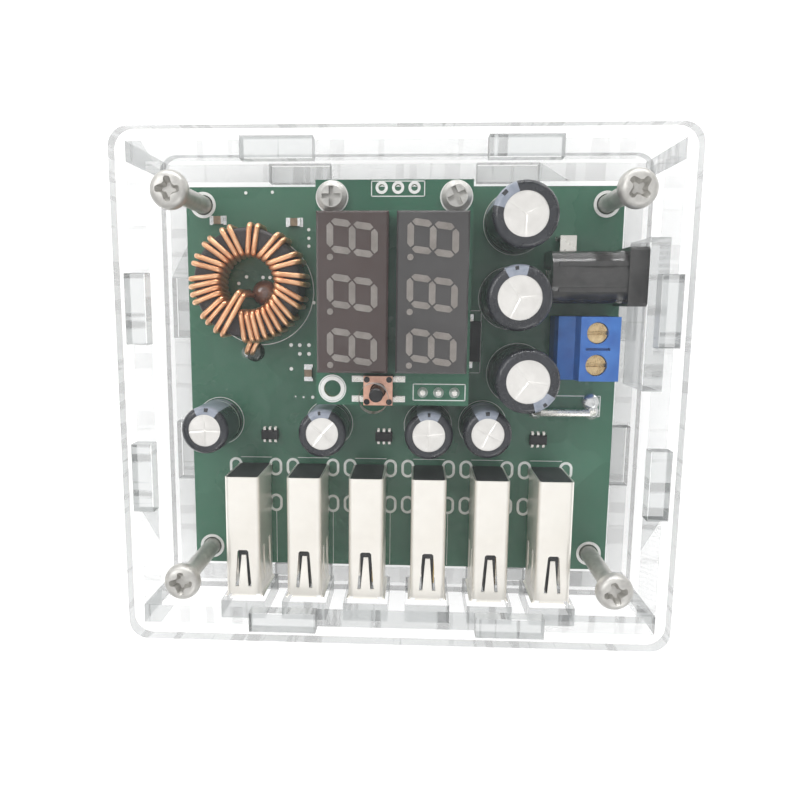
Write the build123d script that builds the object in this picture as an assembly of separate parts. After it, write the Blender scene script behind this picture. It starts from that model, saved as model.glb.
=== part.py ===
from build123d import *
import math
import os

# A buck converter module in a clear acrylic case: a green board with six USB
# sockets on edge, a barrel jack, a screw terminal, a toroid, seven capacitors
# and a raised display board, held by four long screws. Millimetres, +Z up.
# The origin is under the middle of the case, level with the screw ends.
# The sockets face -Y, the jack and the terminal face +X.

# Main board
board_width = 73.0
board_depth = 65.3
board_thickness = 1.6
board_corner = 0.8
board_hole_inset = 2.9
board_hole_diameter = 3.2

# Clear case
plate_thickness = 3.0
plate_corner = 3.0
plate_overhang = 1.6
board_gap = 1.6
board_gap_front = 2.4
tab_length = 10.5
tab_spacing_long = 36.0
tab_spacing_short = 26.0
tab_clearance = 0.1

# Screws, spacers and nuts
screw_diameter = 2.9
screw_head_diameter = 5.7
screw_head_height = 2.1
screw_point = 2.8
screw_hole_clearance = 0.15
recess_width = 0.8
recess_span = 3.4
recess_depth = 1.2
recess_turns = (0.0, 45.0, 15.0, 0.0)
spacer_height = 5.0
spacer_diameter = 6.0
nut_across_flats = 5.5
nut_height = 2.4
nut_clearance = 0.05

# USB sockets standing on edge
usb_count = 6
usb_pitch = 10.16
usb_width = 5.7
usb_height = 13.2
usb_length = 19.8
usb_sheet = 0.3
usb_overhang = 2.1
usb_lip = 0.6
usb_lip_flare = 0.35
usb_corner = 0.5
usb_lift = 0.15
usb_leg_width = 1.1
usb_leg_length = 2.4
usb_leg_rear = 0.9
usb_leg_step = 5.9
usb_pin_width = 0.6
usb_tongue_cut = 0.35
usb_tongue_length = 5.2
usb_tongue_width = 2.2
usb_tongue_setback = 1.4
usb_tongue_thickness = 1.84
usb_tongue_height = 11.1
usb_block_length = 8.4
usb_tongue_recess = 1.4
usb_window_clearance = 0.8
usb_block_chamfer = 0.25

# Toroid inductor
core_outer = 17.8
core_inner = 10.2
core_height = 6.4
core_chamfer = 0.7
core_from_left = 11.5
core_from_back = 15.95
wire_diameter = 0.8
wire_sides = 6
winding_clearance = 0.03
pair_angles = (-89, -75, -58, -41, -20, 3, 26, 52, 82, 111, 134, 156, 180, 196, 220)
pair_spread = 8.0
inner_start = -103.9
inner_step = 11.2
inner_lean = 13.0
winding_board_gap = 0.25
lead_length = 1.2
lead_angle = -95.0
lead_reach = 2.4
lead_exit = 1.6
lead_spacing = 0.95
return_angle = 240.0
return_lead = (-0.7, -1.6)
return_lead_across = (0.405, -0.248)
glue_place = (1.9, -1.4)
glue_diameter = 3.8
glue_height = 1.6

# Display board, its two displays, screws and header
display_board_width = 24.5
display_board_depth = 35.0
display_board_thickness = 1.6
display_board_from_right = 25.35
display_board_from_back = 0.25
display_hole_inset = 2.6
display_hole_diameter = 2.7
standoff_height = 9.0
standoff_across_flats = 4.5
standoff_bore_depth = 5.0
display_screw_head = 4.7
display_screw_head_height = 1.7
display_screw_diameter = 2.4
display_screw_reach = 4.0
display_height = 6.2
display_lid_gap = 0.4
display_length = 24.2
display_width = 10.9
display_spacing = 12.1
display_from_back = 5.2
display_edge = 0.3
display_from_left = 0.75
digit_height = 7.7
digit_width = 5.0
digit_pitch = 8.1
digit_slant = 8.0
stroke = 1.0
stroke_gap = 0.18
segment_thickness = 0.1
point_diameter = 1.0
header_pitch = 2.54
header_pins = 3
header_pin_width = 0.64
header_pin_stand = 1.4
header_from_front = 2.1
header_from_right = 4.8
spare_holes_from_back = 1.2
spare_holes_from_left = 12.85
spare_hole_diameter = 1.0

# Tact button on the display board
button_size = 4.6
button_height = 2.8
button_cover = 0.3
button_rivet = 0.9
button_from_left = 10.1
button_from_front = 2.6
plunger_diameter = 2.1
plunger_collar = 2.7
plunger_collar_height = 0.5
plunger_above_lid = 0.8
plunger_travel = 0.25
plunger_clearance = 0.05
dome_rise = 0.3
dome_thickness = 0.06
button_leg_width = 0.8
button_leg_reach = 1.8
button_leg_thickness = 0.2
button_leg_spacing = 3.2
lid_button_hole = 4.5
lid_button_hole_shift_x = -0.45
lid_button_hole_shift_y = -0.6

# Barrel jack
jack_width = 9.1
jack_height = 10.9
jack_flange = 3.0
jack_length = 14.6
jack_overhang = 1.9
jack_from_back = 14.85
jack_barrel = 8.3
jack_bore = 6.4
jack_bore_depth = 9.5
jack_axis_height = 6.3
jack_base_height = 6.0
jack_pin_diameter = 2.0
jack_pin_setback = 1.2
jack_tab_thickness = 0.4
jack_tab_reach = 2.3
jack_leg_places = (0.6, 6.4, 3.1)
jack_leg_widths = (2.4, 2.0, 2.6)
jack_slot_clearance = 0.3
side_window_clearance = 1.3

# Screw terminal with two poles
terminal_pitch = 5.08
terminal_poles = 2
terminal_depth = 9.6
terminal_height = 10.0
terminal_shelf = 3.4
terminal_shelf_height = 6.6
terminal_setback = 1.7
terminal_from_back = 26.1
terminal_screw_setback = 3.55
terminal_well = 3.4
terminal_wall = 0.4
entry_height = 4.9
entry_floor = 1.3
clamp_screw_head = 3.2
clamp_screw_depth = 0.6
clamp_screw_head_height = 1.5
clamp_screw_shank = 2.5
clamp_wall = 0.6
clamp_depth = 3.6
clamp_height = 4.4
clamp_travel = 1.6
clamp_clearance = 0.08
contact_thickness = 0.6

# Electrolytic capacitors
large_diameter = 10.0
large_height = 16.0
small_diameter = 7.8
small_height = 12.4
sleeve_thickness = 0.12
sleeve_rim_share = 0.68
can_shoulder = 0.8
score_width = 0.22
score_depth = 0.12
score_reach = 0.86
large_places = (("right", -17.8, 5.9), ("right", -18.3, 18.15), ("right", -16.6, 30.85))
small_places = (("left", 5.0, 39.55), ("middle", -12.3, 39.85), ("middle", 4.9, 39.95),
                ("middle", 14.3, 39.65))

# Surface mount chips, diode, regulator and shunt wire
chip_length = 2.9
chip_width = 1.6
chip_height = 1.1
chip_lead_width = 0.42
chip_lead_reach = 0.6
chip_lead_pitch = 0.95
chip_lead_thickness = 0.16
chip_lead_rise = 0.5
chip_places = (("left", 13.8, 41.85), ("middle", -2.7, 41.95), ("middle", 23.9, 42.15))
diode_length = 6.8
diode_width = 5.8
diode_height = 2.3
diode_place = ("right", -25.9, 25.4)
regulator_width = 10.0
regulator_depth = 8.8
regulator_height = 4.4
regulator_tab = 1.3
regulator_place = ("right", -37.0, 14.5)
small_part_length = 2.0
small_part_width = 1.25
small_part_height = 0.9
small_part_places = (("left", 5.4, 5.4), ("middle", -18.1, 5.75), ("middle", -9.3, 20.5),
                     ("middle", -9.3, 24.4), ("right", -40.0, 26.5), ("middle", -15.9, 31.0))
small_part_turns = (0.0, 0.0, 90.0, 90.0, 0.0, 90.0)
shunt_diameter = 1.2
shunt_span = 9.6
shunt_rise = 1.7
shunt_bend = 0.9
shunt_from_right = 8.4
shunt_from_front = 28.0
lead_clearance = 0.1
solder_height = 0.7
solder_spread = 0.75
solder_taper = 38.0

# Heights worked out from the stack of plates and boards
lid_room = standoff_height + display_board_thickness + display_height + display_lid_gap
wall_height = spacer_height + board_thickness + lid_room
z_plate = screw_point + nut_height
z_floor = z_plate + plate_thickness
z_board = z_floor + spacer_height
z_top = z_board + board_thickness
z_lid = z_floor + wall_height
screw_length = z_lid + plate_thickness

# Plan sizes worked out from the board and the gaps round it
inner_width = board_width + 2 * board_gap
inner_depth = board_depth + board_gap + board_gap_front
outer_width = inner_width + 2 * plate_thickness
outer_depth = inner_depth + 2 * plate_thickness
plate_width = outer_width + 2 * plate_overhang
plate_depth = outer_depth + 2 * plate_overhang
board_shift = (board_gap_front - board_gap) / 2
left_edge = -board_width / 2
right_edge = board_width / 2
back_edge = board_depth / 2
front_edge = -board_depth / 2
screw_x = board_width / 2 - board_hole_inset
screw_y = board_depth / 2 - board_hole_inset
on_board = Pos(0, board_shift, z_top)
display_z = standoff_height + display_board_thickness
display_back = back_edge - display_board_from_back
display_x = right_edge - display_board_from_right - display_board_width / 2
display_y = display_back - display_board_depth / 2
on_display = on_board * Pos(display_x, display_y, display_z)
button_x = -display_board_width / 2 + button_from_left
button_y = -display_board_depth / 2 + button_from_front
header_x = display_board_width / 2 - header_from_right
header_y = -display_board_depth / 2 + header_from_front
entry_width = terminal_pitch - 2 * terminal_wall


def block(x0, x1, y0, y1, z0, z1):
    """A box given by its faces."""
    return Pos((x0 + x1) / 2, (y0 + y1) / 2, (z0 + z1) / 2) * Box(x1 - x0, y1 - y0, z1 - z0)


def rod(x, y, z0, z1, diameter):
    """A vertical round bar."""
    return Pos(x, y, (z0 + z1) / 2) * Cylinder(diameter / 2, z1 - z0)


def peg(x, y, z0, z1, diameter):
    """A small pin or hole: eight flats whose middles lie on the diameter."""
    octagon = RegularPolygon(diameter / 2, 8, major_radius=False)
    return Pos(x, y, z0) * extrude(octagon, z1 - z0)


def save(name, *shapes):
    """Write one node, which may hold several like solids."""
    solids = [solid for shape in shapes for solid in shape.solids()]
    export_step(solids[0] if len(solids) == 1 else Compound(solids), f"parts/{name}.step")


def corners(x, y):
    """Four places in mirror image, from the back left one clockwise."""
    return [(-x, y), (x, y), (x, -y), (-x, -y)]


def plan(place):
    """Board place given from the left edge, the middle or the right edge, and from the back edge."""
    start = {"left": left_edge, "middle": 0, "right": right_edge}[place[0]]
    return start + place[1], back_edge - place[2]


# Case: two plates with slots and four walls with tabs
def wall_tabs():
    """Middle of each tab and whether its wall runs along X."""
    x = (inner_width + plate_thickness) / 2
    y = (inner_depth + plate_thickness) / 2
    places = []
    for side in (-1, 1):
        for end in (-0.5, 0.5):
            places.append((end * tab_spacing_long, side * y, True))
            places.append((side * x, end * tab_spacing_short, False))
    return places


def case_plate(z):
    plate = Pos(0, 0, z) * extrude(RectangleRounded(plate_width, plate_depth, plate_corner), plate_thickness)
    length = tab_length + 2 * tab_clearance
    width = plate_thickness + 2 * tab_clearance
    for x, y, along_x in wall_tabs():
        slot = Box(length, width, 3 * plate_thickness) if along_x else Box(width, length, 3 * plate_thickness)
        plate -= Pos(x, y, z) * slot
    for x, y in corners(screw_x, screw_y):
        hole = screw_diameter + 2 * screw_hole_clearance
        plate -= rod(x, y + board_shift, z - 1, z + plate_thickness + 1, hole)
    return plate


def top_plate():
    plate = case_plate(z_lid)
    x = display_x + button_x + lid_button_hole_shift_x
    y = board_shift + display_y + button_y + lid_button_hole_shift_y
    return plate - rod(x, y, z_lid - 1, z_lid + plate_thickness + 1, lid_button_hole)


def wall(width, spacing):
    """A wall seen from outside, standing on the floor, with two tabs up and two down."""
    panel = block(-width / 2, width / 2, 0, plate_thickness, z_floor, z_lid)
    for x in (-spacing / 2, spacing / 2):
        panel += block(x - tab_length / 2, x + tab_length / 2, 0, plate_thickness,
                       z_plate, z_lid + plate_thickness)
    return panel


def front_wall():
    panel = Pos(0, -inner_depth / 2 - plate_thickness, 0) * wall(outer_width, tab_spacing_long)
    half = usb_width / 2 + usb_window_clearance
    low = z_top - usb_window_clearance
    high = z_top + usb_lift + usb_height + usb_window_clearance
    for x in usb_middles():
        panel -= block(x - half, x + half, -outer_depth, 0, low, high)
    return panel


def back_wall():
    return Pos(0, inner_depth / 2, 0) * wall(outer_width, tab_spacing_long)


def left_wall():
    return Pos(-inner_width / 2, 0, 0) * Rot(0, 0, 90) * wall(inner_depth, tab_spacing_short)


def right_wall():
    upright = wall(inner_depth, tab_spacing_short)
    panel = Pos(inner_width / 2 + plate_thickness, 0, 0) * Rot(0, 0, 90) * upright
    back = jack_middle() + jack_width / 2 + side_window_clearance
    front = terminal_middle() - terminal_pitch * terminal_poles / 2 - side_window_clearance
    low = z_top - side_window_clearance
    high = z_top + jack_height + side_window_clearance
    return panel - block(0, outer_width, board_shift + front, board_shift + back, low, high)


# Screws, spacers and nuts at the four corners
def cross_recess(span, width, depth, top):
    """A cross recess, cut down from the top of a head."""
    cross = Rectangle(span, width) + Rectangle(width, span)
    return Pos(0, 0, top) * extrude(cross, -depth)


def case_screws():
    """Long pan head screws that pass through everything and end below the nuts."""
    radius = screw_head_diameter / 2
    head_top = screw_length + screw_head_height
    outline = Polyline(
        (0, screw_length), (radius, screw_length), (radius, head_top - 0.9), (radius - 1.0, head_top),
        (0, head_top),
        close=True,
    )
    head = revolve(Plane.XZ * make_face(outline), Axis.Z)
    shank = rod(0, 0, 0, screw_length, screw_diameter)
    screws = []
    for (x, y), turn in zip(corners(screw_x, screw_y), recess_turns):
        recess = cross_recess(recess_span, recess_width, recess_depth, head_top)
        screw = head + shank - Rot(0, 0, turn) * recess
        screws.append(Pos(x, y + board_shift, 0) * screw)
    return screws


def board_spacers():
    ring = Circle(spacer_diameter / 2) - Circle(screw_diameter / 2 + screw_hole_clearance)
    tube = extrude(ring, spacer_height)
    return [Pos(x, y + board_shift, z_floor) * tube for x, y in corners(screw_x, screw_y)]


def case_nuts():
    hexagon = RegularPolygon(nut_across_flats / 2, 6, major_radius=False)
    nut = extrude(hexagon - Circle(screw_diameter / 2 + nut_clearance), nut_height)
    return [Pos(x, y + board_shift, screw_point) * nut for x, y in corners(screw_x, screw_y)]


# Main board with every hole that a lead or a leg passes through
def main_board():
    board = Pos(0, 0, -board_thickness) * extrude(
        RectangleRounded(board_width, board_depth, board_corner), board_thickness
    )
    cuts = [rod(x, y, -5, 1, board_hole_diameter) for x, y in corners(screw_x, screw_y)]
    for x, y, width, depth in square_leads():
        half_w = width / 2 + lead_clearance
        half_d = depth / 2 + lead_clearance
        cuts.append(block(x - half_w, x + half_w, y - half_d, y + half_d, -5, 1))
    for x, y, diameter in round_leads():
        cuts.append(peg(x, y, -5, 1, diameter + 2 * lead_clearance))
    return on_board * (board - cuts)


def square_leads():
    """Middle and size of each flat or square leg that passes through the board."""
    leads = []
    for x in usb_middles():
        for y in usb_leg_rows():
            for side in (-1, 1):
                leads.append((x + side * (usb_width - usb_sheet) / 2, y, usb_sheet, usb_leg_width))
        for y in usb_pin_rows():
            leads.append((x, y, usb_sheet, usb_pin_width))
    for y in terminal_middles():
        leads.append((terminal_contact_x(), y, contact_thickness, 2 * contact_thickness))
    for x, y, width, depth in jack_legs():
        leads.append((x, y, width, depth))
    for i in range(header_pins):
        x, y = header_place(i)
        leads.append((x, y, header_pin_width, header_pin_width))
    return leads


def round_leads():
    """Middle and diameter of each round lead that passes through the board."""
    leads = [(x, y, wire_diameter) for x, y in winding_ends(0) + winding_ends(-1)]
    return leads + [(x, y, shunt_diameter) for x, y in shunt_ends()]


# USB sockets standing on edge: shell, moulded block and contacts
def usb_middles():
    return [(i - (usb_count - 1) / 2) * usb_pitch for i in range(usb_count)]


def usb_rear():
    return front_edge - usb_overhang + usb_lip + usb_length


def usb_leg_rows():
    rear = usb_rear() - usb_leg_rear
    return [rear, rear - usb_leg_step]


def usb_pin_rows():
    first = usb_rear() - 1.9
    return [first - step for step in (0.0, 1.6, 3.2, 4.8)]


def usb_shell():
    """A folded tube of sheet with flared lips, sprung tongues and four legs."""
    rear = usb_rear()
    mouth = rear - usb_length
    outer = chamfer(Rectangle(usb_width, usb_height).vertices(), usb_corner)
    inner = Rectangle(usb_width - 2 * usb_sheet, usb_height - 2 * usb_sheet)
    inner = chamfer(inner.vertices(), usb_corner - usb_sheet)
    middle = Pos(0, rear, usb_lift + usb_height / 2) * Rot(90, 0, 0)
    shell = middle * extrude(outer - inner, usb_length)
    lips = usb_lips(mouth)
    corner = usb_width / 2 - usb_corner
    high = usb_height / 2 - usb_corner
    for x in (-1, 1):
        for z in (-1, 1):
            notch = Pos(x * (corner + 1), mouth - usb_lip / 2, usb_lift + usb_height / 2 + z * (high + 1))
            lips -= notch * Box(2, 2 * usb_lip, 2)
    shell += lips
    top = usb_lift + usb_height
    shell -= tongue_cut(mouth, Pos(0, 0, top))
    for side in (-1, 1):
        for z in (0.28, 0.72):
            spot = Pos(side * usb_width / 2, 0, usb_lift + z * usb_height) * Rot(0, 90, 0)
            shell -= tongue_cut(mouth, spot)
    floor = usb_lift + usb_sheet + 0.01
    shell -= block(-usb_width, usb_width, rear - usb_block_length + 1, rear + 1, -1, floor)
    for y in usb_leg_rows():
        for side in (-1, 1):
            x = side * (usb_width - usb_sheet) / 2
            half = usb_leg_width / 2
            low = usb_lift - usb_leg_length
            high = usb_lift + usb_corner + 1
            shell += block(x - usb_sheet / 2, x + usb_sheet / 2, y - half, y + half, low, high)
    return shell


def usb_lips(mouth):
    """Four lips that flare outward at the mouth."""
    centre = Pos(0, mouth, usb_lift + usb_height / 2) * Rot(90, 0, 0)
    far = Pos(0, 0, usb_lip)
    width = usb_width + 2 * usb_lip_flare
    height = usb_height + 2 * usb_lip_flare
    twice = 2 * usb_sheet
    outer = loft([Rectangle(usb_width, usb_height).face(), (far * Rectangle(width, height)).face()])
    inner = loft([
        Rectangle(usb_width - twice, usb_height - twice).face(),
        (far * Rectangle(width - twice, height - twice)).face(),
    ])
    return centre * (outer - inner)


def tongue_cut(mouth, spot):
    """A U slot that frees a sprung tongue near the mouth."""
    low = mouth + usb_tongue_setback
    high = low + usb_tongue_length
    half = usb_tongue_width / 2
    deep = usb_sheet
    cut = block(-half, half, high - usb_tongue_cut, high, -deep * 1.5, deep)
    for side in (-1, 1):
        edge = side * (half - usb_tongue_cut / 2)
        cut += block(edge - usb_tongue_cut / 2, edge + usb_tongue_cut / 2, low, high, -deep * 1.5, deep)
    return spot * cut


def usb_block():
    """The dark moulding that closes the rear of a shell and carries the tongue."""
    rear = usb_rear()
    front = rear - usb_block_length
    half = usb_width / 2 - usb_sheet
    low = usb_lift + usb_sheet
    high = usb_lift + usb_height - usb_sheet
    middle = (low + high) / 2
    body = block(-half, half, front, rear, low, high)
    body = chamfer(body.edges().filter_by(Axis.Y), usb_block_chamfer)
    body += block(-half + usb_block_chamfer, half - usb_block_chamfer, front + 1, rear, 0, middle)
    tip = rear - usb_length - usb_lip + usb_tongue_recess
    thick = usb_tongue_thickness
    half = usb_tongue_height / 2
    tongue = block(-thick / 2, thick / 2, tip, front, middle - half, middle + half)
    nose = tongue.edges().filter_by(Axis.Z).group_by(Axis.Y)[0]
    return body + chamfer(nose, 0.4)


def usb_contacts():
    """Four strips on each tongue and the four pins that they end in."""
    rear = usb_rear()
    tip = rear - usb_length - usb_lip + usb_tongue_recess + 1.0
    front = rear - usb_block_length
    middle = usb_lift + usb_height / 2
    face = usb_tongue_thickness / 2
    solids = []
    for x in usb_middles():
        for z in (-3.5, -1.0, 1.0, 3.5):
            solids.append(block(x + face, x + face + 0.2, tip, front, middle + z - 0.5, middle + z + 0.5))
        for y in usb_pin_rows():
            half = usb_pin_width / 2
            low = usb_lift - usb_leg_length
            solids.append(block(x - usb_sheet / 2, x + usb_sheet / 2, y - half, y + half, low, 0))
    return solids


# Toroid inductor lying flat
def core_middle():
    return left_edge + core_from_left, back_edge - core_from_back


def core_mid_height():
    return winding_board_gap + wire_diameter + winding_clearance + core_height / 2


def inductor_core():
    section = Rectangle((core_outer - core_inner) / 2, core_height)
    section = chamfer(section.vertices(), core_chamfer)
    section = Plane.XZ * Pos((core_outer + core_inner) / 4, 0) * section
    x, y = core_middle()
    return Pos(x, y, core_mid_height()) * revolve(section, Axis.Z)


def polar(radius, degrees):
    angle = math.radians(degrees)
    return radius * math.cos(angle), radius * math.sin(angle)


def winding_points(strand):
    """Corner points of one of the two strands that are wound side by side.

    A turn comes up the outside of the ring, crosses the top, leans as it goes
    down the hole and runs out below. The last one crosses over the others.
    """
    side = 1 if strand else -1
    outside = core_outer / 2 + wire_diameter / 2 + winding_clearance
    inside = core_inner / 2 - wire_diameter / 2 - winding_clearance
    half = core_height / 2 + wire_diameter / 2 + winding_clearance
    over = half + wire_diameter + winding_clearance
    low = -core_mid_height() - board_thickness - lead_length
    leave = lead_exit - core_mid_height()
    reach = outside + lead_reach
    risers = [pair + side * pair_spread / 2 for pair in (*pair_angles, return_angle)]
    joint = polar(reach, lead_angle + side * math.degrees(lead_spacing / 2 / reach))
    points = [(*joint, low), (*joint, leave), (*polar(outside, risers[0]), leave)]
    for turn, (riser, following) in enumerate(zip(risers, risers[1:])):
        inner = inner_start + (2 * turn + strand) * inner_step
        points.append((*polar(outside, riser), half))
        points.append((*polar(inside, inner), half))
        points.append((*polar(inside, inner + inner_lean), -half))
        points.append((*polar(outside, following), -half))
    end = (return_lead[0] + side * return_lead_across[0], return_lead[1] + side * return_lead_across[1])
    return points + [(*polar(outside, risers[-1]), over), (*end, over), (*end, low)]


def winding_ends(which):
    """Board places of both strands' first (0) or last (-1) ends."""
    x, y = core_middle()
    ends = [winding_points(strand)[which] for strand in (0, 1)]
    return [(x + end[0], y + end[1]) for end in ends]


def inductor_winding():
    x, y = core_middle()
    strands = []
    for strand in (0, 1):
        path = Polyline(*winding_points(strand))
        start = Plane(origin=path @ 0, z_dir=path % 0)
        section = start * RegularPolygon(wire_diameter / 2, wire_sides)
        wire = sweep(section, path=path, transition=Transition.RIGHT)
        strands.append(Pos(x, y, core_mid_height()) * wire)
    return strands


def inductor_glue():
    """The glossy brown bead of glue that fixes the ring to the board."""
    x, y = core_middle()
    radius = glue_diameter / 2
    outline = Polyline(
        (0, 0), (radius, 0), (radius * 0.8, glue_height * 0.65), (radius * 0.4, glue_height),
        (0, glue_height),
        close=True,
    )
    bead = revolve(Plane.XZ * make_face(outline), Axis.Z)
    return Pos(x + glue_place[0], y + glue_place[1], 0) * bead


# Electrolytic capacitors: a sealed can with the sleeve that is shrunk onto it
def capacitor(diameter, height, cuts):
    """A sealed can: the sleeve turns in over its shoulder and leaves the scored end bare."""
    radius = diameter / 2
    rim = radius * sleeve_rim_share
    top = height + sleeve_thickness
    outline = Polyline(
        (0, 0), (radius, 0), (radius, top - can_shoulder), (radius - can_shoulder, top), (rim, top),
        (rim, height),
        (0, height), close=True,
    )
    can = revolve(Plane.XZ * make_face(outline), Axis.Z)
    for i in range(cuts):
        half = score_width / 2
        spoke = block(0, rim * score_reach, -half, half, height - score_depth, height + 1)
        can -= Rot(0, 0, 360 / cuts * i + 30) * spoke
    return can


def place_all(shape, places):
    return [on_board * Pos(*plan(place), 0) * shape for place in places]


# Barrel jack on the right edge
def jack_middle():
    return back_edge - jack_from_back


def jack_face():
    return right_edge + jack_overhang


def jack_legs():
    """Middle and size of the rear, the inner and the side leg."""
    rear = jack_face() - jack_length
    y = jack_middle()
    side_y = y + jack_barrel / 2 + jack_tab_reach
    return [
        (rear + jack_leg_places[0], y, jack_tab_thickness, jack_leg_widths[0]),
        (rear + jack_leg_places[1], y, jack_tab_thickness, jack_leg_widths[1]),
        (rear + jack_leg_places[2], side_y, jack_leg_widths[2], jack_tab_thickness),
    ]


def jack_body():
    """A moulded barrel on a block, with a square flange round the mouth."""
    face = jack_face()
    rear = face - jack_length
    y = jack_middle()
    along = Rot(0, 90, 0)
    flange = block(face - jack_flange, face, y - jack_width / 2, y + jack_width / 2, 0, jack_height)
    flange = chamfer(flange.edges().filter_by(Axis.X).group_by(Axis.Z)[-1], 0.5)
    barrel_length = jack_length - jack_flange
    middle = Pos((rear + face - jack_flange) / 2, y, jack_axis_height)
    body = flange + middle * along * Cylinder(jack_barrel / 2, barrel_length)
    base = block(rear, face - jack_flange, y - jack_barrel / 2, y + jack_barrel / 2, 0, jack_base_height)
    body += base
    for side in (-1, 1):
        body += block(rear + 1.0, face - jack_flange, y + side * 2.0 - 0.35, y + side * 2.0 + 0.35,
                      jack_base_height, jack_axis_height + 3.9)
    bore = Pos(face - jack_bore_depth / 2 + 0.5, y, jack_axis_height)
    body -= bore * along * Cylinder(jack_bore / 2, jack_bore_depth + 1)
    lead_in = Pos(face - 0.15, y, jack_axis_height) * Rot(0, -90, 0)
    body -= lead_in * Cone(jack_bore / 2 + 0.3, jack_bore / 2, 0.3)
    body -= block(rear - 1, rear + 1.0, y - 1.6, y + 1.6, -1, jack_axis_height + 1.4)
    body -= middle * along * Cylinder(jack_pin_diameter / 2, barrel_length)
    x = jack_legs()[1][0]
    half_x = jack_tab_thickness / 2 + jack_slot_clearance
    half_y = jack_leg_widths[1] / 2 + jack_slot_clearance
    floor = jack_axis_height - jack_bore / 2 + 0.4
    return body - block(x - half_x, x + half_x, y - half_y, y + half_y, -1, floor)


def jack_pin():
    """The centre pin with its rounded tip, riveted through the rear wall."""
    tip = jack_face() - jack_pin_setback
    root = jack_face() - jack_length + 1.0
    pin = Pos((tip + root) / 2, jack_middle(), jack_axis_height) * Rot(0, 90, 0) * Cylinder(
        jack_pin_diameter / 2, tip - root
    )
    return chamfer(pin.edges().group_by(Axis.X)[-1], 0.4)


def jack_contacts():
    """The rear tab, the sleeve spring under the bore and the switched side tab."""
    face = jack_face()
    rear = face - jack_length
    y = jack_middle()
    t = jack_tab_thickness
    low = -board_thickness - lead_length
    legs = jack_legs()
    back_tab = block(legs[0][0] - t / 2, legs[0][0] + t / 2, y - 1.2, y + 1.2, low, jack_axis_height + 1.2)
    back_tab += block(legs[0][0] - t / 2, rear + 1.0, y - 0.6, y + 0.6,
                      jack_axis_height - 0.6, jack_axis_height + 0.6)
    x = legs[1][0]
    floor = jack_axis_height - math.sqrt(jack_bore ** 2 / 4 - 1.0)
    spring = block(x - t / 2, x + t / 2, y - 1.0, y + 1.0, low, floor + t / 2)
    spring += block(x, x + 3.0, y - 1.0, y + 1.0, floor, floor + t / 2)
    x, side_y, width, depth = legs[2]
    high = jack_base_height - 1.4
    tab = block(x - width / 2, x + width / 2, side_y - t / 2, side_y + t / 2, low, high)
    tab += block(x - width / 2, x + width / 2, y + jack_barrel / 2, side_y, high - t, high)
    return [back_tab, spring, tab]


# Screw terminal facing the right edge
def terminal_middle():
    return back_edge - terminal_from_back


def terminal_middles():
    half = (terminal_poles - 1) / 2
    return [terminal_middle() + (half - i) * terminal_pitch for i in range(terminal_poles)]


def terminal_face():
    return right_edge - terminal_setback


def terminal_screw_x():
    return terminal_face() - terminal_screw_setback


def terminal_contact_x():
    return terminal_screw_x() - clamp_depth / 2 - 0.9


def terminal_body():
    """A moulded block with a sloping back, round screw wells and square wire entries."""
    face = terminal_face()
    rear = face - terminal_depth
    width = terminal_pitch * terminal_poles
    step = rear + terminal_shelf
    outline = Polyline(
        (face, 0), (face, terminal_height), (step, terminal_height),
        (step - 0.4, terminal_shelf_height + 0.6), (rear + 0.4, terminal_shelf_height), (rear, 5.0),
        (rear, 0),
        close=True,
    )
    y = terminal_middle()
    body = Pos(0, y + width / 2, 0) * extrude(Plane.XZ * make_face(outline), width)
    cage_x = terminal_screw_x() - clamp_depth / 2 - 0.6
    top = entry_floor + entry_height
    seat = terminal_height - clamp_screw_depth - clamp_screw_head_height
    cage_top = entry_floor + clamp_height + clamp_travel + 2 * clamp_clearance
    for middle in terminal_middles():
        half = entry_width / 2
        body -= rod(terminal_screw_x(), middle, seat, terminal_height + 1, terminal_well)
        body -= rod(terminal_screw_x(), middle, top - 1, seat + 1, clamp_screw_shank + 2 * clamp_clearance)
        body -= block(cage_x, face + 1, middle - half, middle + half, entry_floor, top)
        body -= block(cage_x, face - 1.6, middle - half, middle + half, entry_floor, cage_top)
        body -= block(terminal_contact_x() - contact_thickness / 2, cage_x + 0.1, middle - contact_thickness,
                      middle + contact_thickness, -1, top)
    slot = block(step + 0.9, face - 1.5, y - 0.2, y + 0.2, terminal_height - 0.8, terminal_height + 1)
    return body - slot


def clamp_screw():
    """A slotted screw that turns in its well and draws the clamp up."""
    top = terminal_height - clamp_screw_depth
    low = top - clamp_screw_head_height
    foot = entry_floor + clamp_height - clamp_wall
    head = rod(0, 0, low, top, clamp_screw_head)
    head -= block(-clamp_screw_head, clamp_screw_head, -0.3, 0.3, top - 0.8, top + 1)
    return head + rod(0, 0, foot, low, clamp_screw_shank)


def wire_clamp():
    """A square cage with a tapped roof, which rises as its screw is turned."""
    half_w = entry_width / 2 - clamp_clearance
    half_d = clamp_depth / 2
    low = entry_floor
    high = low + clamp_height
    cage = block(-half_d, half_d, -half_w, half_w, low, high)
    cage -= block(-clamp_depth, clamp_depth, -half_w + clamp_wall, half_w - clamp_wall,
                  low + clamp_wall, high - clamp_wall)
    return cage - rod(0, 0, high - 1, high + 1, clamp_screw_shank + 2 * clamp_clearance)


def terminal_contacts():
    """The tinned strip in each cage and the pin that it ends in."""
    solids = []
    x = terminal_contact_x()
    t = contact_thickness
    high = entry_floor + clamp_height - clamp_wall - 0.1
    reach = terminal_screw_x() + clamp_depth / 2 - 0.2
    for y in terminal_middles():
        strip = block(x - t / 2, reach, y - t, y + t, high - t, high)
        strip += block(x - t / 2, x + t / 2, y - t, y + t, -board_thickness - lead_length, high)
        solids.append(strip)
    return solids


# Chips, diode, regulator, small parts and the shunt wire
def chip_body():
    body = block(-chip_length / 2, chip_length / 2, -chip_width / 2, chip_width / 2, 0.1, chip_height)
    return chamfer(body.edges().group_by(Axis.Z)[-1], 0.15)


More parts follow.
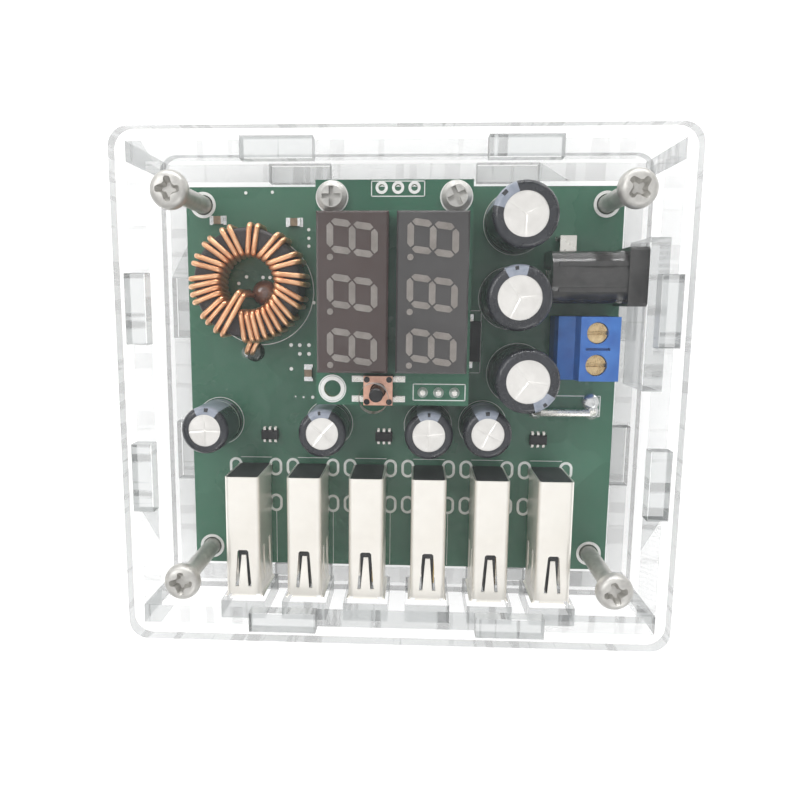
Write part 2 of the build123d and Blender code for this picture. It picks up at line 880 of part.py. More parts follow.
def chip_leads():
    """Six short leads that leave the middle of the body and step down to the board."""
    t = chip_lead_thickness
    half = chip_lead_width / 2
    leads = []
    for side in (-1, 1):
        for i in (-1, 0, 1):
            x = i * chip_lead_pitch
            y = chip_width / 2
            knee = y + chip_lead_reach / 2
            outline = Polyline(
                (y, chip_lead_rise), (knee, chip_lead_rise), (knee, 0),
                (y + chip_lead_reach, 0), (y + chip_lead_reach, t),
                (knee + t, t), (knee + t, chip_lead_rise + t), (y, chip_lead_rise + t), close=True,
            )
            lead = Pos(x - half, 0, 0) * extrude(Plane.YZ * make_face(outline), 2 * half)
            leads.append(lead if side > 0 else Rot(0, 0, 180) * lead)
    return leads


def diode_seat():
    return on_board * Pos(*plan(diode_place), 0)


def diode_body():
    foot = Rectangle(diode_width, diode_length)
    body = extrude(Pos(0, 0, diode_height / 2) * foot, diode_height / 2, taper=7)
    body += Pos(0, 0, diode_height / 2) * Rot(180, 0, 0) * extrude(foot, diode_height / 2 - 0.1, taper=7)
    return diode_seat() * body


def diode_leads():
    leads = []
    for side in (0, 180):
        y = diode_length / 2
        mid = diode_height / 2
        outline = Polyline(
            (y, mid - 0.1), (y + 0.35, mid - 0.1), (y + 0.35, 0.0), (y - 1.2, 0.0), (y - 1.2, 0.1),
            (y + 0.1, 0.1), (y + 0.1, mid - 0.3), (y, mid - 0.3), close=True,
        )
        lead = Pos(-1.5, 0, 0) * extrude(Plane.YZ * make_face(outline), 3.0)
        leads.append(diode_seat() * Rot(0, 0, side) * lead)
    return leads


def regulator_seat():
    return on_board * Pos(*plan(regulator_place), 0)


def regulator_body():
    body = block(-regulator_width / 2, regulator_width / 2, -regulator_depth / 2, regulator_depth / 2,
                 regulator_tab, regulator_height)
    return regulator_seat() * chamfer(body.edges().group_by(Axis.Z)[-1], 0.6)


def regulator_leads():
    """The soldered tab under the body and its five bent leads."""
    half = regulator_width / 2
    depth = regulator_depth / 2
    tab = block(-half, half, -depth + 0.3, depth + 1.6, 0, regulator_tab)
    pieces = [regulator_seat() * tab]
    for i in range(5):
        x = (i - 2) * 1.7
        outline = Polyline(
            (-depth, 2.2), (-depth - 1.6, 2.2), (-depth - 1.6, 0), (-depth - 4.2, 0), (-depth - 4.2, 0.5),
            (-depth - 2.1, 0.5), (-depth - 2.1, 2.7), (-depth, 2.7), close=True,
        )
        lead = Pos(x - 0.4, 0, 0) * extrude(Plane.YZ * make_face(outline), 0.8)
        pieces.append(regulator_seat() * lead)
    return pieces


def small_parts():
    parts = []
    for place, turn in zip(small_part_places, small_part_turns):
        x, y = plan(place)
        body = block(-small_part_length / 2, small_part_length / 2, -small_part_width / 2,
                     small_part_width / 2, 0, small_part_height)
        parts.append(on_board * Pos(x, y, 0) * Rot(0, 0, turn) * body)
    return parts


def shunt_middle():
    return right_edge - shunt_from_right, front_edge + shunt_from_front


def shunt_ends():
    x, y = shunt_middle()
    return [(x - shunt_span / 2, y), (x + shunt_span / 2, y)]


def shunt_wire():
    """A bare bridge of thick wire, bent down at both ends."""
    x, y = shunt_middle()
    half = shunt_span / 2
    low = -board_thickness - lead_length
    bend = shunt_bend
    path = Polyline(
        (-half, 0, low), (-half, 0, shunt_rise - bend), (-half + bend, 0, shunt_rise),
        (half - bend, 0, shunt_rise), (half, 0, shunt_rise - bend), (half, 0, low),
    )
    section = Plane(origin=path @ 0, z_dir=path % 0) * RegularPolygon(shunt_diameter / 2, 8)
    return on_board * Pos(x, y, 0) * sweep(section, path=path, transition=Transition.RIGHT)


def solder_joint(places, diameter):
    """One low mound of solder round the wire ends that share a pad."""
    joint = Part()
    for x, y in places:
        foot = RegularPolygon(diameter / 2 + solder_spread, 8)
        joint += Pos(x, y, 0) * extrude(foot, solder_height, taper=solder_taper)
    for x, y in places:
        joint -= peg(x, y, -1, 2, diameter)
    return on_board * joint


def solder_joints():
    shunt_joints = [solder_joint([place], shunt_diameter) for place in shunt_ends()]
    return [solder_joint(winding_ends(0), wire_diameter)] + shunt_joints


# Display board on two standoffs and a header
def display_holes():
    x = display_board_width / 2 - display_hole_inset
    y = display_board_depth / 2 - display_hole_inset
    return [(-x, y), (x, y), (-x, -y)]


def header_place(index):
    """Board place of one header pin."""
    shift = (index - (header_pins - 1) / 2) * header_pitch
    return display_x + header_x + shift, display_y + header_y


def display_board():
    t = display_board_thickness
    board = Pos(0, 0, -t) * extrude(Rectangle(display_board_width, display_board_depth), t)
    cuts = [rod(x, y, -t - 1, 1, display_hole_diameter) for x, y in display_holes()]
    spare_x = -display_board_width / 2 + spare_holes_from_left
    spare_y = display_board_depth / 2 - spare_holes_from_back
    for i in range(header_pins):
        shift = (i - (header_pins - 1) / 2) * header_pitch
        cuts.append(peg(spare_x + shift, spare_y, -t - 1, 1, spare_hole_diameter))
        half = header_pin_width / 2 + lead_clearance
        x = header_x + shift
        cuts.append(block(x - half, x + half, header_y - half, header_y + half, -t - 1, 1))
    return on_display * (board - cuts)


def display_standoffs():
    """Hexagonal pillars that carry the back of the display board."""
    hexagon = RegularPolygon(standoff_across_flats / 2, 6, major_radius=False)
    pillar = extrude(hexagon, standoff_height)
    bottom = standoff_height - standoff_bore_depth
    pillar -= rod(0, 0, bottom, standoff_height + 1, display_screw_diameter + 0.1)
    return [on_board * Pos(display_x + x, display_y + y, 0) * pillar for x, y in display_holes()[:2]]


def display_screws():
    """Two short pan head screws with cross recesses."""
    radius = display_screw_head / 2
    head = rod(0, 0, 0, display_screw_head_height, 2 * radius)
    head = chamfer(head.edges().group_by(Axis.Z)[-1], 0.7)
    screw = head + rod(0, 0, -display_board_thickness - display_screw_reach, 0, display_screw_diameter)
    screw -= cross_recess(display_screw_head * 0.62, 0.7, 1.0, display_screw_head_height)
    places = zip(display_holes()[:2], (0.0, 25.0))
    return [on_display * Pos(x, y, 0) * Rot(0, 0, turn) * screw for (x, y), turn in places]


def display_header_body():
    low_height = standoff_height
    x0, y0 = header_place(0)
    x1, y1 = header_place(header_pins - 1)
    half = header_pitch / 2
    body = block(x0 - half, x1 + half, y0 - half, y1 + half, 0, low_height)
    for i in range(header_pins):
        x, y = header_place(i)
        reach = header_pin_width / 2 + 0.01
        body -= block(x - reach, x + reach, y - reach, y + reach, -1, low_height + 1)
    return on_board * body


def display_header_pins():
    low = -board_thickness - lead_length
    high = display_z + header_pin_stand
    half = header_pin_width / 2
    pins = []
    for i in range(header_pins):
        x, y = header_place(i)
        pins.append(on_board * block(x - half, x + half, y - half, y + half, low, high))
    return pins


def display_place(side):
    """Middle of a display on its board: 0 for the left one, 1 for the right one."""
    x = -display_board_width / 2 + display_from_left + display_width / 2 + side * display_spacing
    y = display_board_depth / 2 - display_from_back - display_length / 2
    return on_display * Pos(x, y, 0)


def display_case(side):
    body = Box(display_width, display_length, display_height, align=(Align.CENTER, Align.CENTER, Align.MIN))
    return display_place(side) * chamfer(body.edges().group_by(Axis.Z)[-1], display_edge)


def slanted(u, v):
    """Turn a point of a digit, u to its right and v up, onto the display."""
    lean = math.tan(math.radians(digit_slant)) * v
    return v, -(u + lean)


def bar(u0, v0, u1, v1):
    """A pointed bar between two corners of a digit."""
    length = math.hypot(u1 - u0, v1 - v0)
    du, dv = (u1 - u0) / length, (v1 - v0) / length
    half = stroke / 2
    start, end = stroke_gap, length - stroke_gap
    spots = [(start, 0), (start + half, half), (end - half, half),
             (end, 0), (end - half, -half), (start + half, -half)]
    outline = [slanted(u0 + a * du - b * dv, v0 + a * dv + b * du) for a, b in spots]
    return extrude(make_face(Polyline(*outline, close=True)), segment_thickness)


def display_segments(side):
    """Three unlit digits of seven bars and a point each."""
    u = (digit_width - stroke) / 2
    v = (digit_height - stroke) / 2
    ends = [
        (-u, v, u, v), (u, v, u, 0), (u, 0, u, -v), (u, -v, -u, -v),
        (-u, -v, -u, 0), (-u, 0, -u, v), (-u, 0, u, 0),
    ]
    pieces = []
    for i in range(3):
        place = display_place(side) * Pos(0, (1 - i) * digit_pitch, display_height)
        for u0, v0, u1, v1 in ends:
            pieces.append(place * bar(u0, v0, u1, v1))
        x, y = slanted(u + stroke * 1.25, -v)
        pieces.append(place * Pos(x, y) * extrude(RegularPolygon(point_diameter / 2, 8), segment_thickness))
    return pieces


# Tact button with a tall plunger that reaches through the lid
def button_place():
    return on_display * Pos(button_x, button_y, 0)


def button_well_floor():
    return button_height - plunger_collar_height - plunger_travel - dome_rise


def button_base():
    """The dark moulded base, with a well for the plunger."""
    half = button_size / 2
    body = block(-half, half, -half, half, 0.1, button_height)
    well = plunger_collar + 2 * plunger_clearance
    return button_place() * (body - rod(0, 0, button_well_floor(), button_height + 1, well))


def button_plate():
    """The copper coloured cover with its four rivets."""
    half = button_size / 2
    high = button_height + button_cover
    cover = block(-half, half, -half, half, button_height, high)
    cover -= rod(0, 0, button_height - 1, high + 1, plunger_diameter + 2 * plunger_clearance + 0.3)
    spread = half - button_rivet / 2 - 0.25
    for x, y in corners(spread, spread):
        cover += Pos(x, y, high) * extrude(RegularPolygon(button_rivet / 2, 8), 0.2)
    return button_place() * cover


def button_plunger():
    """A long round stem with a collar that the cover keeps in."""
    low = button_height - plunger_collar_height
    top = z_lid + plate_thickness + plunger_above_lid - z_top - display_z
    stem = rod(0, 0, low, top, plunger_diameter)
    stem = chamfer(stem.edges().group_by(Axis.Z)[-1], 0.2)
    return button_place() * (stem + rod(0, 0, low, button_height - 0.01, plunger_collar))


def button_dome():
    """The snap disc on the floor of the well, a thin pan pressed from sheet."""
    spread = plunger_collar / 2 - plunger_clearance
    flat = spread / 2
    t = dome_thickness
    outline = Polyline((spread, 0), (flat, dome_rise), (0, dome_rise), (0, dome_rise - t),
                       (flat, dome_rise - t),
                       (spread - 2 * t, 0), close=True)
    return button_place() * Pos(0, 0, button_well_floor()) * revolve(Plane.XZ * make_face(outline), Axis.Z)


def button_legs():
    """Four flat legs, bent to lie on the pads at both sides."""
    t = button_leg_thickness
    half = button_leg_width / 2
    inner = button_size / 2
    outer = inner + button_leg_reach
    legs = []
    for side in (0, 180):
        for y in (-button_leg_spacing / 2, button_leg_spacing / 2):
            outline = Polyline(
                (inner, 0.9), (inner + 0.3, 0.9), (inner + 0.3, 0), (outer, 0), (outer, t),
                (inner + 0.3 + t, t), (inner + 0.3 + t, 0.9 + t), (inner, 0.9 + t), close=True,
            )
            leg = Pos(0, y + half, 0) * extrude(Plane.XZ * make_face(outline), 2 * half)
            legs.append(button_place() * Rot(0, 0, side) * leg)
    return legs


os.makedirs("parts", exist_ok=True)
save("bottom_plate", case_plate(z_plate))
save("top_plate", top_plate())
save("front_wall", front_wall())
save("back_wall", back_wall())
save("left_wall", left_wall())
save("right_wall", right_wall())
save("case_screws", *case_screws())
save("board_spacers", *board_spacers())
save("case_nuts", *case_nuts())
save("main_board", main_board())
socket_shell = usb_shell()
socket_block = usb_block()
for number, middle in enumerate(usb_middles(), start=1):
    save(f"usb_shell_{number}", on_board * Pos(middle, 0, 0) * socket_shell)
    save(f"usb_insulator_{number}", on_board * Pos(middle, 0, 0) * socket_block)
save("usb_contacts", *[on_board * contact for contact in usb_contacts()])
save("inductor_core", on_board * inductor_core())
save("inductor_winding", *[on_board * strand for strand in inductor_winding()])
save("inductor_glue", on_board * inductor_glue())
save("large_capacitors", *place_all(capacitor(large_diameter, large_height, 3), large_places))
save("small_capacitors", *place_all(capacitor(small_diameter, small_height, 4), small_places))
save("dc_jack_body", on_board * jack_body())
save("dc_jack_pin", on_board * jack_pin())
save("dc_jack_contacts", *[on_board * contact for contact in jack_contacts()])
save("terminal_block", on_board * terminal_body())
for number, middle in enumerate(terminal_middles(), start=1):
    pole = on_board * Pos(terminal_screw_x(), middle, 0)
    save(f"terminal_screw_{number}", pole * clamp_screw())
    save(f"terminal_clamp_{number}", pole * wire_clamp())
save("terminal_contacts", *[on_board * contact for contact in terminal_contacts()])
save("charge_chips", *place_all(chip_body(), chip_places))
save("switching_regulator", regulator_body())
save("rectifier_diode", diode_body())
chip_feet = [foot for lead in chip_leads() for foot in place_all(lead, chip_places)]
save("chip_leads", *chip_feet, *diode_leads(), *regulator_leads())
save("small_parts", *small_parts())
save("current_shunt", shunt_wire())
save("solder_joints", *solder_joints())
save("display_board", display_board())
save("display_standoffs", *display_standoffs())
save("display_screws", *display_screws())
save("display_header_body", display_header_body())
save("display_header_pins", *display_header_pins())
save("voltage_display", display_case(0))
save("current_display", display_case(1))
save("display_segments", *display_segments(0), *display_segments(1))
save("button_base", button_base())
save("button_cover", button_plate())
save("button_dome", button_dome())
save("button_legs", *button_legs())
save("button_plunger", button_plunger())
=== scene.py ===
import bmesh
import bpy
import math
from mathutils import Matrix, Vector


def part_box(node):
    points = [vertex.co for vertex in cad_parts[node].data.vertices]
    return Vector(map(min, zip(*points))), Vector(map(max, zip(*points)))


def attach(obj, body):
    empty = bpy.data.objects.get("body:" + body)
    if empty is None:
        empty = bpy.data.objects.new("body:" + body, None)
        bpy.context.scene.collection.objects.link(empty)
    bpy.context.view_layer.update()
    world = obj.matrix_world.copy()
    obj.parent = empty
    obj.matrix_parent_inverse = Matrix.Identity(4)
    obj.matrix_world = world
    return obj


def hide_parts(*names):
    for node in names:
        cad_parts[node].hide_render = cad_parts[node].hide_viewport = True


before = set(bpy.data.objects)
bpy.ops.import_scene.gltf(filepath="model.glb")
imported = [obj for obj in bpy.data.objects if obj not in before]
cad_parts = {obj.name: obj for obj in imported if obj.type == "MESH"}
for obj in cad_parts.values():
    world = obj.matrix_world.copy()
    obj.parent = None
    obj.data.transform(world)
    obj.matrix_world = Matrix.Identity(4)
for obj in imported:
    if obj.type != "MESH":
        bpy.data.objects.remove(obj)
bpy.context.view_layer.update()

# The module stands on its screw ends on a white table, seen from just above.
# A pale room lights it softly, and two tubes behind it draw bright lines.
mm = 0.001
camera_place = (2.69 * mm, 14.28 * mm, 167.54 * mm)
camera_turn = (-10.5, 3.53, 0.24)
camera_data = bpy.data.cameras.new("camera")
camera_data.sensor_width = 36.0
camera_data.lens = 39.74
camera_data.shift_x, camera_data.shift_y = 0.048, 0.0815
camera_data.clip_start = 1 * mm
camera = bpy.data.objects.new("camera", camera_data)
camera.location = camera_place
camera.rotation_euler = [math.radians(angle) for angle in camera_turn]
bpy.context.scene.collection.objects.link(camera)
bpy.context.scene.camera = camera
bpy.context.scene.view_settings.view_transform = "Standard"


def add_node(tree, kind, **values):
    """One shader node with its settings, keyed by attribute or by input name."""
    node = tree.nodes.new(kind)
    for name, value in values.items():
        if hasattr(node, name):
            setattr(node, name, value)
        else:
            node.inputs[name.replace("_", " ")].default_value = value
    return node


def math_node(tree, operation, first, second):
    """A maths node whose two inputs are sockets or numbers."""
    node = add_node(tree, "ShaderNodeMath", operation=operation)
    for index, value in enumerate((first, second)):
        if isinstance(value, bpy.types.NodeSocket):
            tree.links.new(value, node.inputs[index])
        else:
            node.inputs[index].default_value = value
    return node.outputs[0]


def table_paint():
    """White paint that takes a shadow and shows pale to the eye, in metal and through glass."""
    material = bpy.data.materials.new("table_paint")
    material.use_nodes = True
    tree = material.node_tree
    paint = tree.nodes["Principled BSDF"]
    paint.inputs["Base Color"].default_value = (0.80, 0.80, 0.80, 1)
    paint.inputs["Roughness"].default_value = 0.9
    glow = add_node(tree, "ShaderNodeEmission")
    rays = add_node(tree, "ShaderNodeLightPath")
    seen = math_node(tree, "MAXIMUM", rays.outputs["Is Camera Ray"], rays.outputs["Is Glossy Ray"])
    seen = math_node(tree, "MAXIMUM", seen, rays.outputs["Is Transmission Ray"])
    tree.links.new(math_node(tree, "MULTIPLY", seen, 0.42), glow.inputs["Strength"])
    both = add_node(tree, "ShaderNodeAddShader")
    tree.links.new(paint.outputs[0], both.inputs[0])
    tree.links.new(glow.outputs[0], both.inputs[1])
    tree.links.new(both.outputs[0], tree.nodes["Material Output"].inputs["Surface"])
    return material


half_table = 3.0
table_mesh = bpy.data.meshes.new("table")
table_corners = [(half_table * x, half_table * y, 0) for x, y in ((-1, -1), (1, -1), (1, 1), (-1, 1))]
table_mesh.from_pydata(table_corners, [], [(0, 1, 2, 3)])
table_mesh.materials.append(table_paint())
table = bpy.data.objects.new("table", table_mesh)
bpy.context.scene.collection.objects.link(table)

world = bpy.data.worlds.new("room")
world.use_nodes = True
bpy.context.scene.world = world
room = world.node_tree
room_shade = room.nodes["Background"]
room_shade.inputs["Color"].default_value = (1, 1, 1, 1)
direction = add_node(room, "ShaderNodeTexCoord")
height = add_node(room, "ShaderNodeSeparateXYZ")
room.links.new(direction.outputs["Generated"], height.inputs[0])
ceiling = add_node(room, "ShaderNodeMapRange", interpolation_type="SMOOTHSTEP", From_Min=-0.1, From_Max=0.75,
                   To_Min=0.52, To_Max=0.95)
room.links.new(height.outputs["Z"], ceiling.inputs[0])
rays = add_node(room, "ShaderNodeLightPath")
seen = math_node(room, "MAXIMUM", rays.outputs["Is Camera Ray"], rays.outputs["Is Transmission Ray"])
room.links.new(math_node(room, "MAXIMUM", ceiling.outputs[0], seen), room_shade.inputs["Strength"])


def lamp(name, place, target, size, power):
    """A flat rectangular lamp turned towards a point."""
    data = bpy.data.lights.new(name, "AREA")
    data.shape = "RECTANGLE"
    data.size, data.size_y = size
    data.energy = power
    lit = bpy.data.objects.new(name, data)
    lit.location = place
    lit.rotation_euler = (Vector(target) - Vector(place)).to_track_quat("-Z", "Y").to_euler()
    bpy.context.scene.collection.objects.link(lit)


lamp("window", (-0.55, 0.35, 0.75), (0, 0, 0.02), (0.5, 0.5), 2.6)
lamp("front_lamp", (0.35, -0.7, 0.6), (0, 0, 0.02), (0.5, 0.35), 1.3)
lamp("tube_low", (0.05, 0.62, 0.10), (0.03, 0, 0.02), (0.9, 0.025), 1.5)
lamp("tube_high", (0.05, 0.62, 0.19), (0.03, 0, 0.02), (0.9, 0.025), 1.5)


# The case is cut by laser from 3 mm clear acrylic: two plates and four walls
# whose tabs slip into slots. Flat faces are clear, cut edges finely ribbed.
def clear_acrylic(name, flat_axis):
    """Clear sheet: its cut edges, off the flat axis, are frosted; their grey, with dark lines across the
    thickness, is painted reflection of the shade under the case.
    """
    material = bpy.data.materials.new(name)
    material.use_nodes = True
    tree = material.node_tree
    sheet = tree.nodes["Principled BSDF"]
    coordinates = add_node(tree, "ShaderNodeTexCoord")
    facing = add_node(tree, "ShaderNodeSeparateXYZ")
    tree.links.new(coordinates.outputs["Normal"], facing.inputs[0])
    edge = math_node(tree, "ABSOLUTE", facing.outputs[flat_axis], 0)
    edge = math_node(tree, "LESS_THAN", edge, 0.5)
    stretched = add_node(tree, "ShaderNodeMapping")
    stretched.inputs["Scale"].default_value = [0.05 if axis == flat_axis else 1.0 for axis in "XYZ"]
    tree.links.new(coordinates.outputs["Object"], stretched.inputs["Vector"])
    ribs = add_node(tree, "ShaderNodeTexNoise", Scale=420.0, Detail=2.0)
    tree.links.new(stretched.outputs[0], ribs.inputs["Vector"])
    # Painted reflection: dark lines on the cut edges, taken from the rib noise, stand for shade reflected
    # inside the sheet.
    reflection_streaks = add_node(tree, "ShaderNodeMapRange", interpolation_type="SMOOTHSTEP", From_Min=0.54,
                       From_Max=0.62)
    tree.links.new(ribs.outputs[0], reflection_streaks.inputs[0])
    dust = add_node(tree, "ShaderNodeTexNoise", Scale=700.0, Detail=4.0)
    tree.links.new(coordinates.outputs["Object"], dust.inputs["Vector"])
    # The grey of the cut edges and its darker lines are painted reflected shade, not the colour of the
    # acrylic.
    reflected_shade_tint = add_node(tree, "ShaderNodeMix", data_type="RGBA")
    reflected_shade_tint.inputs[6].default_value = (0.44, 0.46, 0.46, 1)
    reflected_shade_tint.inputs[7].default_value = (0.05, 0.06, 0.06, 1)
    tree.links.new(math_node(tree, "MULTIPLY", edge, reflection_streaks.outputs[0]), reflected_shade_tint.inputs[0])
    tree.links.new(reflected_shade_tint.outputs[2], sheet.inputs["Base Color"])
    clear_film = math_node(tree, "MULTIPLY", dust.outputs[0], 0.05)
    frosted = math_node(tree, "MULTIPLY", edge, 0.52)
    tree.links.new(math_node(tree, "ADD", clear_film, frosted), sheet.inputs["Alpha"])
    frost = math_node(tree, "MULTIPLY", edge, 0.25)
    tree.links.new(math_node(tree, "ADD", frost, 0.05), sheet.inputs["Roughness"])
    relief = add_node(tree, "ShaderNodeBump", Distance=0.03 * mm)
    tree.links.new(math_node(tree, "MULTIPLY", edge, 0.4), relief.inputs["Strength"])
    tree.links.new(ribs.outputs[0], relief.inputs["Height"])
    tree.links.new(relief.outputs[0], sheet.inputs["Normal"])
    return material


def dress(node, material):
    """Gives a CAD node its finish."""
    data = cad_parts[node].data
    data.materials.clear()
    data.materials.append(material)


for flat_axis, sheets in (("Z", ("bottom_plate", "top_plate")), ("Y", ("front_wall", "back_wall")),
                          ("X", ("left_wall", "right_wall"))):
    cut_sheet = clear_acrylic(f"clear_sheet_{flat_axis.lower()}", flat_axis)
    for sheet_name in sheets:
        dress(sheet_name, cut_sheet)


# Four M3 steel screws, zinc plated, with pan heads and cross recesses, run
# through the whole stack. Their threads end below the nuts.
def finish(name, dark, light, grain, rough, metal=0.0, relief=0.0, relief_grain=None, coat=0.0, shine=0.5):
    """A surface whose colour and gloss wander between two values; grain is in bumps a metre."""
    material = bpy.data.materials.new(name)
    material.use_nodes = True
    tree = material.node_tree
    skin = tree.nodes["Principled BSDF"]
    coordinates = add_node(tree, "ShaderNodeTexCoord")
    wander = add_node(tree, "ShaderNodeTexNoise", Scale=grain, Detail=5.0, Roughness=0.6)
    tree.links.new(coordinates.outputs["Object"], wander.inputs["Vector"])
    contrast = add_node(tree, "ShaderNodeMapRange", From_Min=0.3, From_Max=0.7)
    tree.links.new(wander.outputs[0], contrast.inputs[0])
    colour = add_node(tree, "ShaderNodeMix", data_type="RGBA")
    colour.inputs[6].default_value = (*dark, 1)
    colour.inputs[7].default_value = (*light, 1)
    tree.links.new(contrast.outputs[0], colour.inputs[0])
    tree.links.new(colour.outputs[2], skin.inputs["Base Color"])
    gloss = add_node(tree, "ShaderNodeMapRange", To_Min=rough[0], To_Max=rough[1])
    tree.links.new(wander.outputs[0], gloss.inputs[0])
    tree.links.new(gloss.outputs[0], skin.inputs["Roughness"])
    skin.inputs["Metallic"].default_value = metal
    skin.inputs["Coat Weight"].default_value = coat
    skin.inputs["Specular IOR Level"].default_value = shine
    if relief:
        bumps = add_node(tree, "ShaderNodeTexNoise", Scale=relief_grain or grain * 3, Detail=3.0)
        tree.links.new(coordinates.outputs["Object"], bumps.inputs["Vector"])
        height = add_node(tree, "ShaderNodeBump", Distance=relief, Strength=0.6)
        tree.links.new(bumps.outputs[0], height.inputs["Height"])
        tree.links.new(height.outputs[0], skin.inputs["Normal"])
    return material


def piece(name, mesh, slot, *materials, body="module", replaces=()):
    """One finished piece, on the body that carries it."""
    if isinstance(mesh, bmesh.types.BMesh):
        built = bpy.data.meshes.new(name)
        mesh.to_mesh(built)
        mesh.free()
        mesh = built
    for material in materials:
        mesh.materials.append(material)
    thing = bpy.data.objects.new(name, mesh)
    bpy.context.scene.collection.objects.link(thing)
    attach(thing, body)
    if replaces:
        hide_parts(*replaces)
    return thing


def smooth(bm, angle=35):
    """Soft shading, but for edges sharper than an angle in degrees."""
    bmesh.ops.recalc_face_normals(bm, faces=bm.faces)
    for face in bm.faces:
        face.smooth = True
    for edge in bm.edges:
        edge.smooth = len(edge.link_faces) == 2 and edge.calc_face_angle(0) < math.radians(angle)


def lathe(bm, outline, centre=(0, 0, 0), steps=48, radius_change=None):
    """A closed body turned from an outline of (radius, height), whose ends lie on the axis."""
    rings = []
    for radius, height in outline:
        if radius == 0:
            rings.append([bm.verts.new((centre[0], centre[1], centre[2] + height))])
            continue
        ring = []
        for i in range(steps):
            angle = 2 * math.pi * i / steps
            r = radius + (radius_change(radius, height, angle) if radius_change else 0)
            ring.append(bm.verts.new((centre[0] + r * math.cos(angle), centre[1] + r * math.sin(angle),
                                      centre[2] + height)))
        rings.append(ring)
    for low, high in zip(rings, rings[1:]):
        for i in range(steps):
            after = i + 1
            corners = (low[i % len(low)], low[after % len(low)], high[after % len(high)], high[i % len(high)])
            bm.faces.new(list(dict.fromkeys(corners)))
    return rings


def arc(centre, radius, start, end, steps):
    """Points of an arc in an outline, in degrees."""
    angles = [math.radians(start + (end - start) * i / steps) for i in range(steps + 1)]
    return [(centre[0] + radius * math.cos(a), centre[1] + radius * math.sin(a)) for a in angles]


def subtract(bm, cutter):
    """Cuts one mesh from another."""
    meshes = []
    for part in (bm, cutter):
        data = bpy.data.meshes.new("cut")
        bmesh.ops.recalc_face_normals(part, faces=part.faces)
        part.to_mesh(data)
        part.free()
        thing = bpy.data.objects.new("cut", data)
        bpy.context.scene.collection.objects.link(thing)
        meshes.append(thing)
    step = meshes[0].modifiers.new("cut", "BOOLEAN")
    step.operation, step.solver, step.object = "DIFFERENCE", "EXACT", meshes[1]
    result = bmesh.new()
    result.from_object(meshes[0], bpy.context.evaluated_depsgraph_get())
    for thing in meshes:
        bpy.data.objects.remove(thing)
    return result


def prism(bm, outline, low, high, scale=1.0, centre=(0, 0)):
    """A flat outline raised between two heights; its lower end may be smaller."""
    ends = []
    for height, size in ((low, scale), (high, 1.0)):
        ends.append([bm.verts.new((centre[0] + x * size, centre[1] + y * size, height)) for x, y in outline])
    count = len(outline)
    for i in range(count):
        bm.faces.new((ends[0][i], ends[0][(i + 1) % count], ends[1][(i + 1) % count], ends[1][i]))
    bm.faces.new(ends[0][::-1])
    bm.faces.new(ends[1])


def cross_cutter(bm, span, width, depth, top):
    """A cross recess that narrows as it goes down, with a hollow where its arms meet."""
    long, narrow = span / 2, width / 2
    arm = ((long * 0.9, -narrow), (long, -narrow * 0.5), (long, narrow * 0.5), (long * 0.9, narrow),
           (narrow * 2.25, narrow), (narrow * 1.6, narrow * 1.6))
    outline = []
    for quarter in range(4):
        c, s = math.cos(quarter * math.pi / 2), math.sin(quarter * math.pi / 2)
        for u, v in arm:
            outline.append((u * c - v * s, u * s + v * c))
    prism(bm, outline, top - depth, top + 0.2 * mm, scale=0.5)


head_low = 35.0 * mm
head_radius = 2.85 * mm
head_high = 2.1 * mm
head_edge = 0.55 * mm
shank_radius = 1.45 * mm
thread_top = 11.0 * mm
thread_pitch = 0.5 * mm
thread_depth = 0.16 * mm
thread_rings = 6
screw_point = 0.4 * mm
recess_span, recess_width, recess_depth = 4.0 * mm, 1.0 * mm, 1.3 * mm
screw_spread = (33.6 * mm, 29.75 * mm)
board_shift = 0.4 * mm
recess_turns = (0, 45, 15, 0)


def screw_ridge(radius, height, angle):
    """How far the thread's flank lies inside its crest."""
    if height > thread_top or height < screw_point:
        return 0
    phase = (height / thread_pitch - angle / (2 * math.pi)) % 1
    return -thread_depth * min(1, 2.4 * abs(phase - 0.5))


def case_screw(turn):
    """One long screw with its head, plain shank, thread and cross recess."""
    bm = bmesh.new()
    rings = round(thread_top / (thread_pitch / thread_rings))
    outline = [(0, 0), (1.0 * mm, 0), (shank_radius - thread_depth, screw_point)]
    outline += [(shank_radius, screw_point + (thread_top - screw_point) * i / rings)
                for i in range(1, rings + 1)]
    outline += [(shank_radius, thread_top + 0.2 * mm), (shank_radius, head_low)]
    outline += [(head_radius - 0.1 * mm, head_low), (head_radius, head_low + 0.12 * mm)]
    outline += [(head_radius, head_low + head_edge)]
    dome = head_high - head_edge
    outline += [(head_radius * math.cos(a) ** 0.38, head_low + head_edge + dome * math.sin(a))
                for a in [math.radians(step * 9) for step in range(1, 10)]]
    outline += [(0, head_low + head_high)]
    lathe(bm, outline, steps=32, radius_change=screw_ridge)
    cutter = bmesh.new()
    cross_cutter(cutter, recess_span, recess_width, recess_depth, head_low + head_high)
    bmesh.ops.rotate(cutter, verts=cutter.verts, matrix=Matrix.Rotation(math.radians(turn), 3, "Z"))
    return subtract(bm, cutter)


def gather(target, part, place, turn=0):
    """Adds a part to a mesh at a place, turned about the upright axis."""
    part.transform(Matrix.Translation(place) @ Matrix.Rotation(math.radians(turn), 4, "Z"))
    data = bpy.data.meshes.new("part")
    part.to_mesh(data)
    part.free()
    target.from_mesh(data)
    bpy.data.meshes.remove(data)


zinc = finish("zinc_steel", (0.44, 0.43, 0.41), (0.62, 0.61, 0.58), 700, (0.36, 0.50), metal=0.7,
              relief=0.02 * mm, relief_grain=4000)
screws = bmesh.new()
signs = ((-1, 1), (1, 1), (1, -1), (-1, -1))
screw_places = [(side * screw_spread[0], end * screw_spread[1] + board_shift) for side, end in signs]
for place, recess_turn in zip(screw_places, recess_turns):
    gather(screws, case_screw(recess_turn), (*place, 0))
smooth(screws, 28)
piece("pan_head_screws", screws, "zinc_steel", zinc, replaces=("case_screws",))

